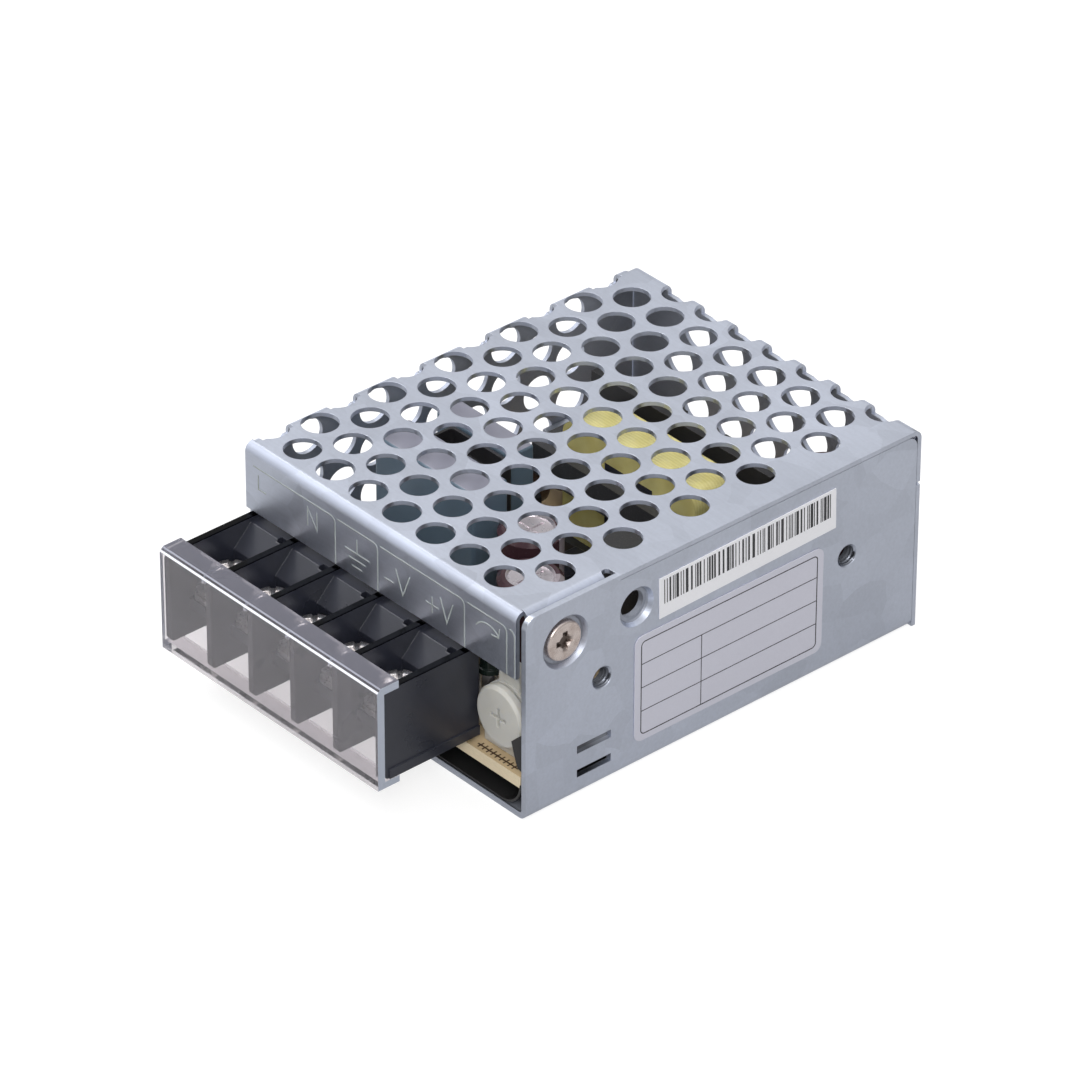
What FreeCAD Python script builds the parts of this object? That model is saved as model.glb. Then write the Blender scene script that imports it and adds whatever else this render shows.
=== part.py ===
import FreeCAD, Part
import math
import os

V = FreeCAD.Vector

# Case, measured over the sheet metal: X to the label side, Y to the rear, Z up
CASE_WIDTH = 51.0
CASE_LENGTH = 62.5
CASE_HEIGHT = 28.0
COVER_SHEET = 0.6
CHASSIS_SHEET = 0.8
BEND = 1.2
SHEET_GAP = 0.05

# Perforation of the cover: staggered round holes on one flat lattice that folds with it
HOLE_PITCH = 6.04
HOLE_DIAMETER = 4.7
FIRST_HOLE_IN = 6.02
FIRST_ROW_IN = 4.30
LAST_HOLE_IN = 5.0
WALL_HOLES_LOW = 7.2
BACK_HOLES_LOW = 10.0
WALL_HOLES_REAR_IN = 8.0
HOLE_TO_SCREW = 5.5

# Cover flange, ear and relief notch
FLANGE_DROP = 9.0
FLANGE_END_IN = 1.8
EAR_GAP = 0.25
EAR_DROP = 9.4
NOTCH_FROM_FRONT = 13.2
NOTCH_LENGTH = 1.2
NOTCH_DEPTH = 1.4
CORNER_SLIT = 1.0
CORNER_RELIEF = 2.4
WALL_GAP = 0.25
SIDE_NICK_HEIGHT = 20.4
SIDE_NICK = 0.3

# Chassis
LEFT_LIP_HEIGHT = 6.0
LEFT_TAB_HEIGHT = 10.4
LEFT_TAB_WIDTH = 9.0
PLATE_CORNER = 1.5
SIDE_HOLE_SPACING = 39.0
SIDE_HOLE_HEIGHT = 15.0
BASE_HOLE_SPACING = 39.0
M3_CORE = 2.5
M3_COLLAR = 4.2
M3_COLLAR_DEPTH = 1.0
SPARE_HOLE_FROM_FRONT = 17.1
SPARE_HOLE_HEIGHT = 22.5
SPARE_HOLE = 3.5
SLOT_FROM_FRONT = 7.9
SLOT_LENGTH = 5.3
SLOT_HEIGHT = 1.1
SHELF_REACH = 1.1
SHELF_SHEET = 0.6
SHELF_END = 0.5

# Case screws
SCREW_FROM_FRONT = 6.1
SCREW_HEIGHT = 22.5
LEFT_SCREW_HEIGHT = 6.84
LEFT_SCREW_FRONT_IN = 9.53
LEFT_SCREW_REAR_IN = 11.12
SCREW_HEAD = 5.2
SCREW_HEAD_HEIGHT = 0.8
SCREW_SHANK = 2.4
SCREW_LENGTH = 3.6
DIMPLE_DEPTH = 0.9
DIMPLE_SLOPE = 0.45
DIMPLE_RIM = 0.45

# Board stack
BOARD_BOTTOM = 3.7
BOARD_THICKNESS = 1.6
BOARD_FRONT_IN = 0.45
BOARD_REAR_IN = 1.3
BOARD_SIDE_GAP = 0.2
BOARD_HOLE = 3.2
BOSS_TOP = 4.8
BOSS_FOOT = 6.6
REAR_BOSS_1 = (5.5, 5.25)
REAR_BOSS_2 = (29.5, 4.75)
FRONT_BOSS = (17.0, 6.65)
LINER_SHEET = 0.3
LINER_EAR_LENGTH = 6.6
LINER_EAR_TOP = 11.7
LINER_EAR_REAR_TOP = 9.2
LINER_BEND = 3.5
LINER_CURL = 1.75
LINER_CURL_TOP = 9.9
LINER_CURL_LOW = 6.4

# Terminal block with its clear cover
BAYS = 5
BARRIER = 0.9
BLOCK_LEFT_IN = 1.2
BLOCK_RIGHT_IN = 10.4
BLOCK_BOTTOM = 6.2
BLOCK_TOP = 18.6
BLOCK_PROJECTION = 12.55
BLOCK_INSIDE = 1.85
SEAT_TOP = 11.4
SEAT_FRONT_IN = 2.9
SEAT_THICKNESS = 2.2
FOOT_FRONT_IN = 5.4
RAMP_FRONT_IN = 9.2
RAMP_BOTTOM = 15.2
RAMP_RISE = 2.7
FOOT_HEIGHT = 1.3
FOOT_STEP = 0.2
STRIP_SEAT_DROP = 0.4
STRIP_SEAT_LENGTH = 2.2
TAB_SHEET = 0.8
TAB_SIDE_GAP = 0.5
TAB_DEPTH = 6.0
TAB_COLLAR_WALL = 0.75
TAB_COLLAR_DEPTH = 1.4
TERMINAL_IN = 6.0
WASHER_SIDE_GAP = 0.6
WASHER_DEPTH = 5.6
WASHER_SHEET = 0.8
TERMINAL_HEAD = 5.4
TERMINAL_HEAD_HEIGHT = 2.0
TERMINAL_SHANK = 2.9
TERMINAL_LENGTH = 4.6
COVER_WALL = 1.05
COVER_OVERHANG = 0.15
COVER_GAP = 0.1
COVER_RISE = 0.75
COVER_BEVEL = 0.55

# Output adjuster
TRIMMER_RIGHT_IN = 6.1
TRIMMER_Z = 11.0
TRIMMER_FACE_IN = 1.05
TRIMMER_DIAMETER = 8.2
TRIMMER_ROTOR = 1.5
TRIMMER_BODY = 2.6
TRIMMER_CAP = 3.6
TRIMMER_CAP_RISE = 1.5
TRIMMER_PIVOT = 2.0
TRIMMER_PIVOT_LENGTH = 1.4
TRIMMER_PIVOT_GAP = 0.05
TRIMMER_SLOT = 0.45
TRIMMER_SLOT_LENGTH = 2.6
TRIMMER_SLOT_DEPTH = 0.45
TRIMMER_BEVEL = 0.35

# Labels
LABEL_SHEET = 0.12
LABEL_GAP = 0.02
RATING = (-14.5, 3.4, 30.0, 14.8)
BARCODE_START = -10.7
BARCODE_DROP = 8.65
BARCODE_WIDE = 28.1
BARCODE_HIGH = 5.6
BARCODE_TILT = 1.3
LABEL_CORNER = 1.2

# Boxed parts on the board: in from the left, in from the rear, width, depth, top height
X2_BOX = (4.5, 45.95, 18.1, 5.6, 24.2)
CHOKE_BOX = (6.9, 40.05, 11.0, 4.5, 22.6)
FILM_BOX = (3.4, 35.25, 13.6, 3.9, 22.6)
CHOKE_RIM = 0.8
CHOKE_RECESS = 2.4

# Electrolytic capacitors: centre in from the side, centre in from the rear
BULK_PLACE = (8.5, 7.15)
BULK_DIAMETER = 12.5
BULK_TOP = 20.0
OUTPUT_CAP_1 = (28.4, 41.95)
OUTPUT_CAP_2 = (36.1, 48.75)
OUTPUT_CAP_DIAMETER = 8.0
OUTPUT_CAP_TOP = 21.0

# Transformer
WINDING_LEFT_IN = 16.1
WINDING_REAR_IN = 26.05
WINDING_WIDE = 23.6
WINDING_DEEP = 6.8
WINDING_BOTTOM = 7.6
WINDING_TOP = 24.0
WINDING_ROUND = 2.2
YOKE = 2.4
CORE_BOTTOM = 15.9
CORE_TOP = 20.2
CORE_LEG = 2.5
CORE_GAP = 0.5
CENTRE_LEG = 6.8
BOBBIN_WALL = 0.7
BOBBIN_RIM = 1.2

# Heatsink and the transistor on it
HEATSINK_LEFT_IN = 10.0
HEATSINK_REAR_IN = 16.05
HEATSINK_WIDE = 32.0
HEATSINK_SHEET = 1.4
HEATSINK_TOP = 23.5
FIN = 1.0
FIN_PITCH = 2.6
FIN_DEPTH = 1.2
FINS_FROM = 11.0
FINS_END_IN = 5.5
TRANSISTOR_WIDE = 10.0
TRANSISTOR_DEEP = 4.3
TRANSISTOR_IN = 0.4
TRANSISTOR_BOTTOM = 9.6
TRANSISTOR_BODY_TOP = 18.6
TRANSISTOR_TAB_TOP = 22.8
TRANSISTOR_TAB_SHEET = 1.3
TRANSISTOR_HOLE = 3.4
TRANSISTOR_HOLE_DROP = 1.9
TRANSISTOR_LEG = 0.8
TRANSISTOR_LEG_PITCH = 2.54

# Small parts: centre in from the left and from the rear, then their own sizes
BRIDGE_PLACE = (8.2, 28.35)
BRIDGE_WIDE = 8.4
BRIDGE_DEEP = 4.4
BRIDGE_HIGH = 6.0
BRIDGE_LIFT = 1.0
BRIDGE_CORNER = 1.6
BRIDGE_LEG_PITCH = 2.3
BRIDGE_LEGS = 4
FUSE_PLACE = (8.5, 50.15)
FUSE_DIAMETER = 7.6
FUSE_HIGH = 7.2
FUSE_LIFT = 0.6
THERMISTOR_PLACE = (24.0, 50.15)
THERMISTOR_DIAMETER = 8.4
THERMISTOR_THICK = 3.6
THERMISTOR_LIFT = 1.0
Y_CAP_LEFT_IN = 7.1
Y_CAP_REAR_INS = (23.85, 18.85)
Y_CAP_DIAMETER = 7.0
Y_CAP_THICK = 3.4
Y_CAP_LIFT = 1.2
LEAD = 0.7
OPTO_PLACE = (23.9, 31.75)
OPTO_WIDE = 4.6
OPTO_LONG = 6.2
OPTO_HIGH = 3.5
OPTO_LIFT = 0.5
OPTO_LEG = 0.6
OPTO_LEG_PITCH = 2.54
INDUCTOR_RIGHT_IN = 15.0
INDUCTOR_REAR_IN = 33.05
INDUCTOR_DIAMETER = 7.6
INDUCTOR_CORE = 6.6
INDUCTOR_FLANGE = 1.6
INDUCTOR_HIGH = 13.6
DIODE_RIGHT_IN = 4.9
DIODE_REAR_IN = 34.25
DIODE_DIAMETER = 5.2
DIODE_HIGH = 9.0
DIODE_LIFT = 1.0
DIODE_LEAD = 1.1
DIODE_LEAD_REACH = 4.2
PART_SEAT = 0.05

# Worked out from the sizes above
RIGHT = CASE_WIDTH / 2
LEFT = -CASE_WIDTH / 2
FRONT = -CASE_LENGTH / 2
REAR = CASE_LENGTH / 2
TOP = CASE_HEIGHT
HOLE_RADIUS = HOLE_DIAMETER / 2
ROW_PITCH = HOLE_PITCH * math.sin(math.radians(60))
PLATE_INNER = RIGHT - CHASSIS_SHEET
LIP_OUTER = LEFT + COVER_SHEET + SHEET_GAP
LIP_INNER = LIP_OUTER + CHASSIS_SHEET
CHASSIS_REAR = REAR - COVER_SHEET - SHEET_GAP
LEFT_SCREW_PLACES = (FRONT + LEFT_SCREW_FRONT_IN, REAR - LEFT_SCREW_REAR_IN)
BOSSES = (
    (LEFT + REAR_BOSS_1[0], REAR - REAR_BOSS_1[1]),
    (LEFT + REAR_BOSS_2[0], REAR - REAR_BOSS_2[1]),
    (LEFT + FRONT_BOSS[0], FRONT + FRONT_BOSS[1]),
)
EAR_OUTER = PLATE_INNER - EAR_GAP
EAR_INNER = EAR_OUTER - COVER_SHEET
NOTCH_FRONT = FRONT + NOTCH_FROM_FRONT
NOTCH_REAR = NOTCH_FRONT + NOTCH_LENGTH
BOARD_TOP = BOARD_BOTTOM + BOARD_THICKNESS
BOARD_FRONT = FRONT + BOARD_FRONT_IN
BOARD_REAR = REAR - BOARD_REAR_IN
BOARD_LEFT = LIP_INNER + BOARD_SIDE_GAP
LINER_RIGHT = PLATE_INNER - BOARD_SIDE_GAP
BOARD_RIGHT = LINER_RIGHT - LINER_SHEET - BOARD_SIDE_GAP
SEAT = BOARD_TOP + PART_SEAT
BLOCK_LEFT = LEFT + BLOCK_LEFT_IN
BLOCK_RIGHT = RIGHT - BLOCK_RIGHT_IN
BAY_PITCH = (BLOCK_RIGHT - BLOCK_LEFT - BARRIER) / BAYS
BAY_INNER = BAY_PITCH - BARRIER
TAB_WIDTH = BAY_INNER - 2 * TAB_SIDE_GAP
WASHER_SIDE = BAY_INNER - 2 * WASHER_SIDE_GAP
BLOCK_FRONT = FRONT - BLOCK_PROJECTION
BLOCK_REAR = FRONT + BLOCK_INSIDE
TERMINAL_Y = BLOCK_FRONT + TERMINAL_IN
TAB_TOP = SEAT_TOP + TAB_SHEET
WASHER_TOP = TAB_TOP + WASHER_SHEET
SCREW_FLOOR = RIGHT - DIMPLE_DEPTH
DIMPLE_RADIUS = SCREW_HEAD / 2 + DIMPLE_RIM
TRIMMER_X = RIGHT - TRIMMER_RIGHT_IN
WINDING_LEFT = LEFT + WINDING_LEFT_IN
WINDING_FRONT = REAR - WINDING_REAR_IN
WINDING_MIDDLE = WINDING_LEFT + WINDING_WIDE / 2
WINDING_REAR = WINDING_FRONT + WINDING_DEEP
HEATSINK_LEFT = LEFT + HEATSINK_LEFT_IN
HEATSINK_FACE = REAR - HEATSINK_REAR_IN + HEATSINK_SHEET


def bay_centre(bay):
    """X of the middle of one terminal bay, counted from the left."""
    return BLOCK_LEFT + BARRIER / 2 + BAY_PITCH * (bay + 0.5)


def block(x0, y0, z0, x1, y1, z1):
    """Box between two corners."""
    return Part.makeBox(x1 - x0, y1 - y0, z1 - z0, V(x0, y0, z0))


def rod(diameter, start, direction, length):
    """Round bar from a start point along a direction."""
    return Part.makeCylinder(diameter / 2, length, start, direction)


def fuse(shapes):
    """One solid from pieces that touch or overlap."""
    return shapes[0].fuse(shapes[1:]).removeSplitter()


def prism(points, along):
    """Flat polygon pushed along a vector."""
    return Part.Face(Part.makePolygon(points + [points[0]])).extrude(along)


def round_edges(shape, radius, wanted):
    """Fillet the straight edges whose middle point and direction are wanted."""
    edges = []
    for edge in shape.Edges:
        if edge.Curve.TypeId != "Part::GeomLine":
            continue
        middle = edge.valueAt((edge.FirstParameter + edge.LastParameter) / 2)
        if wanted(middle, edge.tangentAt(edge.FirstParameter)):
            edges.append(edge)
    return shape.makeFillet(radius, edges)


def fold(place, drop, sheet, along, bend=BEND):
    """Bent edge and its wall; place turns distance past the bend line and height into a point."""
    inner = bend - sheet
    turn = math.sqrt(0.5)
    outer_arc = Part.Arc(
        place(0, 0), place(bend * turn, bend * (turn - 1)), place(bend, -bend)
    )
    inner_arc = Part.Arc(
        place(inner, -bend), place(inner * turn, inner * turn - bend), place(0, -sheet)
    )
    edges = [
        outer_arc.toShape(),
        Part.makeLine(place(bend, -bend), place(bend, -drop)),
        Part.makeLine(place(bend, -drop), place(inner, -drop)),
        Part.makeLine(place(inner, -drop), place(inner, -bend)),
        inner_arc.toShape(),
        Part.makeLine(place(0, -sheet), place(0, 0)),
    ]
    return Part.Face(Part.Wire(edges)).extrude(along)


def dimple(face, depth, radius, sheet, y, z):
    """Cone pressed inward at a side wall: the metal that bulges in and the hollow left outside."""
    foot = radius + DIMPLE_SLOPE
    skin = sheet * 0.9
    inward = V(-1, 0, 0)
    bulge = Part.makeCone(foot + skin, radius + skin, depth, V(face - sheet, y, z), inward)
    hollow = Part.makeCone(foot, radius, depth, V(face, y, z), inward)
    return bulge, hollow


def near_left_screw(y, z):
    """Whether a point of the left wall is too near one of its screws for a hole."""
    return any(math.hypot(y - at, z - LEFT_SCREW_HEIGHT) < HOLE_TO_SCREW
               for at in LEFT_SCREW_PLACES)


def perforation():
    """Hole cutters for every panel; a hole past a bend carries on down the next wall."""
    cutters = []
    reach = BEND + 0.3
    left_reach = TOP - WALL_HOLES_LOW
    back_reach = TOP - BACK_HOLES_LOW
    rows = int((CASE_LENGTH - FIRST_ROW_IN + back_reach) / ROW_PITCH) + 1
    first = -int(left_reach / HOLE_PITCH) - 1
    last = int(CASE_WIDTH / HOLE_PITCH) + 1
    for row in range(rows):
        shift = 0.5 * (row % 2)
        y = FRONT + FIRST_ROW_IN + ROW_PITCH * row
        past_back = y - REAR
        for column in range(first, last):
            x = LEFT + FIRST_HOLE_IN + HOLE_PITCH * (column + shift)
            past_left = LEFT - x
            corner = HOLE_PITCH * (1.1 if past_back > HOLE_RADIUS else 0.75)
            on_corner = past_back > -HOLE_RADIUS and past_left > -corner
            below = past_left > left_reach or past_back > back_reach
            if on_corner or below or x > RIGHT - LAST_HOLE_IN:
                continue
            if past_left > HOLE_RADIUS and y > REAR - WALL_HOLES_REAR_IN:
                continue
            if past_left > 0 and near_left_screw(y, TOP - past_left):
                continue
            if past_left < HOLE_RADIUS and past_back < HOLE_RADIUS:
                cutters.append(rod(HOLE_DIAMETER, V(x, y, TOP - reach), V(0, 0, 1), 2 * reach))
            if past_left > -HOLE_RADIUS:
                start = V(LEFT - reach, y, TOP - past_left)
                cutters.append(rod(HOLE_DIAMETER, start, V(1, 0, 0), 2 * reach))
            if past_back > -HOLE_RADIUS:
                start = V(x, REAR - reach, TOP - past_back)
                cutters.append(rod(HOLE_DIAMETER, start, V(0, 1, 0), 2 * reach))
    return cutters


def mesh_cover():
    """One sheet folded into top, left wall, rear wall, front flange and screw ear."""
    rear_panel = block(LEFT + BEND, NOTCH_FRONT, TOP - COVER_SHEET, RIGHT, REAR - BEND, TOP)
    front_panel = block(
        LEFT + BEND, FRONT + BEND, TOP - COVER_SHEET, EAR_OUTER - BEND, NOTCH_REAR, TOP
    )
    wall_front = FRONT + CORNER_SLIT
    left_wall = fold(
        lambda out, up: V(LEFT + BEND - out, wall_front, TOP + up),
        TOP - SHEET_GAP,
        COVER_SHEET,
        V(0, REAR - COVER_SHEET - WALL_GAP - wall_front, 0),
    )
    back_wall = fold(
        lambda out, up: V(LEFT, REAR - BEND + out, TOP + up),
        TOP,
        COVER_SHEET,
        V(CASE_WIDTH, 0, 0),
    )
    relief_front = REAR - BEND - CORNER_SLIT
    relief = block(LEFT - 1, relief_front, TOP - CORNER_RELIEF, LEFT + BEND, REAR + 1, TOP + 1)
    left_wall = left_wall.cut(relief)
    back_wall = back_wall.cut(relief)
    flange = fold(
        lambda out, up: V(LEFT + CORNER_SLIT / 2, FRONT + BEND - out, TOP + up),
        FLANGE_DROP,
        COVER_SHEET,
        V(CASE_WIDTH - CORNER_SLIT / 2 - FLANGE_END_IN, 0, 0),
    )
    ear_front = FRONT + BEND + 0.1
    ear = fold(
        lambda out, up: V(EAR_OUTER - BEND + out, ear_front, TOP + up),
        EAR_DROP,
        COVER_SHEET,
        V(0, NOTCH_FRONT - ear_front, 0),
    )
    ear = round_edges(
        ear,
        2.0,
        lambda p, d: abs(d.x) > 0.99 and abs(p.z - TOP + EAR_DROP) < 0.01,
    )
    shape = fuse([rear_panel, front_panel, left_wall, back_wall, flange, ear])
    notch = block(EAR_OUTER - BEND, NOTCH_FRONT, TOP - 2, RIGHT + 1, NOTCH_REAR, TOP + 1)
    notch = round_edges(notch, NOTCH_LENGTH * 0.45, lambda p, d: abs(d.z) > 0.99 and p.x < RIGHT)
    side_vee = prism(
        [
            V(RIGHT + 0.1, REAR - 1, SIDE_NICK_HEIGHT + SIDE_NICK),
            V(RIGHT - 2 * SIDE_NICK, REAR - 1, SIDE_NICK_HEIGHT),
            V(RIGHT + 0.1, REAR - 1, SIDE_NICK_HEIGHT - SIDE_NICK),
        ],
        V(0, 2, 0),
    )
    shape = shape.cut([notch, side_vee] + perforation())
    y = FRONT + SCREW_FROM_FRONT
    floor = SCREW_FLOOR - CHASSIS_SHEET - SHEET_GAP
    bulge, hollow = dimple(
        EAR_OUTER, EAR_OUTER - floor, DIMPLE_RADIUS + CHASSIS_SHEET * 0.9, COVER_SHEET, y,
        SCREW_HEIGHT,
    )
    collar = rod(M3_COLLAR, V(floor, y, SCREW_HEIGHT), V(-1, 0, 0), COVER_SHEET + 1.2)
    thread = rod(M3_CORE, V(RIGHT, y, SCREW_HEIGHT), V(-1, 0, 0), 8)
    shape = shape.fuse([bulge, collar]).cut([hollow, thread])
    for y in LEFT_SCREW_PLACES:
        start = V(LEFT - 1, y, LEFT_SCREW_HEIGHT)
        shape = shape.cut(rod(BOARD_HOLE, start, V(1, 0, 0), 1 + COVER_SHEET + SHEET_GAP / 2))
    return shape


def tapped_hole(start, inward):
    """Collar drawn inward from a sheet and the thread core cut through both."""
    collar = rod(M3_COLLAR, start, inward, CHASSIS_SHEET + M3_COLLAR_DEPTH)
    core = rod(M3_CORE, start - inward, inward, 4)
    flare = Part.makeCone(M3_CORE / 2 + 0.3, M3_CORE / 2, 0.3, start, inward)
    return collar, [core, flare]


def chassis():
    """One sheet folded into base, label-side plate and a low lip inside the cover."""
    length = CHASSIS_REAR - FRONT
    base = block(LIP_OUTER + BEND, FRONT, 0, RIGHT - BEND, CHASSIS_REAR, CHASSIS_SHEET)
    plate = fold(
        lambda out, up: V(RIGHT - BEND + out, FRONT, -up), TOP, CHASSIS_SHEET, V(0, length, 0)
    )
    lip = fold(
        lambda out, up: V(LIP_OUTER + BEND - out, FRONT, -up),
        LEFT_TAB_HEIGHT,
        CHASSIS_SHEET,
        V(0, length, 0),
    )
    cut_from = FRONT - 1
    lip_cuts = []
    for centre in LEFT_SCREW_PLACES:
        cut_to = centre - LEFT_TAB_WIDTH / 2
        lip_cuts.append(
            block(LEFT - 1, cut_from, LEFT_LIP_HEIGHT, LEFT + 5, cut_to, TOP)
        )
        cut_from = centre + LEFT_TAB_WIDTH / 2
    lip_cuts.append(block(LEFT - 1, cut_from, LEFT_LIP_HEIGHT, LEFT + 5, REAR, TOP))
    lip = lip.cut(lip_cuts)
    plate = plate.cut(
        block(RIGHT - 2, NOTCH_REAR, TOP - COVER_SHEET - SHEET_GAP, RIGHT + 1, REAR, TOP + 1)
    )
    plate = round_edges(
        plate,
        PLATE_CORNER,
        lambda p, d: abs(d.x) > 0.99 and p.z > TOP - 2 and (p.y > 0 or p.y < FRONT + 0.01),
    )
    shape = fuse([base, plate, lip])
    added = []
    removed = []
    for sign in (-1, 1):
        side = V(RIGHT, sign * SIDE_HOLE_SPACING / 2, SIDE_HOLE_HEIGHT)
        collar, cuts = tapped_hole(side, V(-1, 0, 0))
        added.append(collar)
        removed += cuts
        under = V(0, sign * BASE_HOLE_SPACING / 2, 0)
        collar, cuts = tapped_hole(under, V(0, 0, 1))
        added.append(collar)
        removed += cuts
    for x, y in BOSSES:
        added.append(
            Part.makeCone(BOSS_FOOT / 2, BOSS_TOP / 2, BOARD_BOTTOM - PART_SEAT, V(x, y, 0))
        )
        hollow = BOARD_BOTTOM - CHASSIS_SHEET
        removed.append(
            Part.makeCone(BOSS_FOOT / 2 - 0.7, BOSS_TOP / 2 - 0.7, hollow, V(x, y, 0))
        )
        removed.append(rod(M3_CORE, V(x, y, -1), V(0, 0, 1), 8))
    y = FRONT + SCREW_FROM_FRONT
    for centre, z, hole in (
        (y, SCREW_HEIGHT, BOARD_HOLE),
        (FRONT + SPARE_HOLE_FROM_FRONT, SPARE_HOLE_HEIGHT, SPARE_HOLE),
    ):
        radius = DIMPLE_RADIUS if hole == BOARD_HOLE else SPARE_HOLE / 2 + DIMPLE_RIM
        bulge, hollow = dimple(RIGHT, DIMPLE_DEPTH, radius, CHASSIS_SHEET, centre, z)
        added.append(bulge)
        removed.append(hollow)
        removed.append(rod(hole, V(RIGHT, centre, z), V(-1, 0, 0), 4))
    slot_front = FRONT + SLOT_FROM_FRONT
    for bottom, shelf in (
        (BOARD_BOTTOM - SLOT_HEIGHT, BOARD_BOTTOM - PART_SEAT - SHELF_SHEET),
        (BOARD_TOP + 0.65, BOARD_TOP + PART_SEAT),
    ):
        removed.append(
            block(PLATE_INNER - 0.1, slot_front, bottom, RIGHT + 1, slot_front + SLOT_LENGTH,
                  bottom + SLOT_HEIGHT)
        )
        added.append(
            block(PLATE_INNER - SHELF_REACH, slot_front - SHELF_END, shelf, PLATE_INNER + 0.2,
                  slot_front + SLOT_LENGTH + SHELF_END, shelf + SHELF_SHEET)
        )
    for centre in LEFT_SCREW_PLACES:
        start = V(LIP_OUTER - 1, centre, LEFT_SCREW_HEIGHT)
        removed.append(rod(M3_CORE, start, V(1, 0, 0), 3))
    return shape.fuse(added).cut(removed)


def pan_head(diameter, height, base, axis):
    """Domed screw head with a tapered crosshead recess."""
    head = rod(diameter, base, axis, height)
    rim = [e for e in head.Edges if e.Curve.TypeId == "Part::GeomCircle"]
    crown = base + axis * height
    rim = [e for e in rim if (e.Curve.Center - crown).Length < 0.01]
    head = head.makeFillet(height * 0.42, rim)
    across = V(axis.y, axis.z, axis.x)
    other = axis.cross(across)
    width = diameter * 0.15
    reach = diameter * 0.28
    depth = height * 0.6
    floor = crown - axis * depth
    cuts = [Part.makeCone(width * 0.6, width * 1.35, depth + 0.1, floor, axis)]
    for along, side in ((across, other), (other, across)):
        edge = side * (width / 2)
        points = [
            floor - along * (reach * 0.45) - edge,
            floor + along * (reach * 0.45) - edge,
            floor + along * reach + axis * (depth * 1.1) - edge,
            floor - along * reach + axis * (depth * 1.1) - edge,
        ]
        cuts.append(prism(points, side * width))
    return head.cut(cuts)


def machine_screw(base, axis):
    """Case or board screw: the head stands on base and the shank runs the other way."""
    shank = rod(SCREW_SHANK, base - axis * SCREW_LENGTH, axis, SCREW_LENGTH + 0.1)
    return fuse([pan_head(SCREW_HEAD, SCREW_HEAD_HEIGHT, base, axis), shank])


def case_screws():
    """Three equal screws: one through the label plate and two through the left wall."""
    y = FRONT + SCREW_FROM_FRONT
    screws = [machine_screw(V(SCREW_FLOOR, y, SCREW_HEIGHT), V(1, 0, 0))]
    for y in LEFT_SCREW_PLACES:
        screws.append(machine_screw(V(LEFT, y, LEFT_SCREW_HEIGHT), V(-1, 0, 0)))
    return Part.makeCompound(screws)


def board_screws():
    """Screws that hold the board down on the raised bosses."""
    screws = [machine_screw(V(x, y, BOARD_TOP), V(0, 0, 1)) for x, y in BOSSES]
    return Part.makeCompound(screws)


def insulation_sheet():
    """Thin black liner under the board; beside the adjuster it sweeps up and curls inward."""
    z0 = CHASSIS_SHEET + SHEET_GAP
    front = BOARD_FRONT - LINER_SHEET
    ear_rear = front + LINER_EAR_LENGTH
    bend_left = LINER_RIGHT - LINER_BEND
    left = LIP_INNER + BEND
    floor = fuse([
        block(left, front, z0, bend_left, ear_rear, z0 + LINER_SHEET),
        block(left, ear_rear, z0, LINER_RIGHT - LINER_SHEET, CHASSIS_REAR - 1,
              z0 + LINER_SHEET),
    ])
    bend = fold(
        lambda out, up: V(bend_left + out, front, z0 - up),
        LINER_EAR_TOP - z0,
        LINER_SHEET,
        V(0, LINER_EAR_LENGTH, 0),
        LINER_BEND,
    )
    curl_left = LINER_RIGHT - LINER_CURL
    curl_rear = front + LINER_CURL
    slope = prism(
        [
            V(LINER_RIGHT - 1, ear_rear + 0.1, LINER_EAR_REAR_TOP),
            V(LINER_RIGHT - 1, curl_rear, LINER_EAR_TOP),
            V(LINER_RIGHT - 1, ear_rear + 0.1, LINER_EAR_TOP + 1),
        ],
        V(2, 0, 0),
    )
    in_front = block(bend_left, front - 1, z0 + LINER_BEND, LINER_RIGHT + 1, curl_rear, TOP)
    tube = rod(2 * LINER_CURL, V(curl_left, curl_rear, z0 + LINER_BEND), V(0, 0, 1), TOP)
    bore = rod(2 * (LINER_CURL - LINER_SHEET), V(curl_left, curl_rear, 0), V(0, 0, 1), 2 * TOP)
    outline = prism(
        [
            V(curl_left, front - 1, LINER_CURL_TOP),
            V(LINER_RIGHT + 0.1, front - 1, LINER_EAR_TOP),
            V(LINER_RIGHT + 0.1, front - 1, z0 + LINER_BEND),
            V(LINER_RIGHT - LINER_SHEET / 2, front - 1, z0 + LINER_BEND),
            V(LINER_RIGHT - LINER_SHEET, front - 1, BOARD_TOP + LINER_SHEET),
            V(LINER_RIGHT - LINER_CURL / 2, front - 1, LINER_CURL_LOW),
        ],
        V(0, 1 + LINER_CURL, 0),
    )
    curl = tube.cut(bore).common(outline)
    ear = bend.cut([in_front, slope])
    clearances = [rod(BOSS_FOOT + 1.4, V(x, y, 0), V(0, 0, 1), 3) for x, y in BOSSES]
    corner_x, corner_y = BOSSES[0]
    clearances.append(block(LEFT, corner_y, 0, corner_x, REAR, 3))
    for sign in (-1, 1):
        under = V(0, sign * BASE_HOLE_SPACING / 2, 0)
        clearances.append(rod(M3_COLLAR + 1, under, V(0, 0, 1), 3))
    return fuse([floor, ear, curl]).cut(clearances)


def circuit_board():
    """Single-sided board with its screw holes."""
    board = block(BOARD_LEFT, BOARD_FRONT, BOARD_BOTTOM, BOARD_RIGHT, BOARD_REAR, BOARD_TOP)
    return board.cut([rod(BOARD_HOLE, V(x, y, 0), V(0, 0, 1), 9) for x, y in BOSSES])


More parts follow.
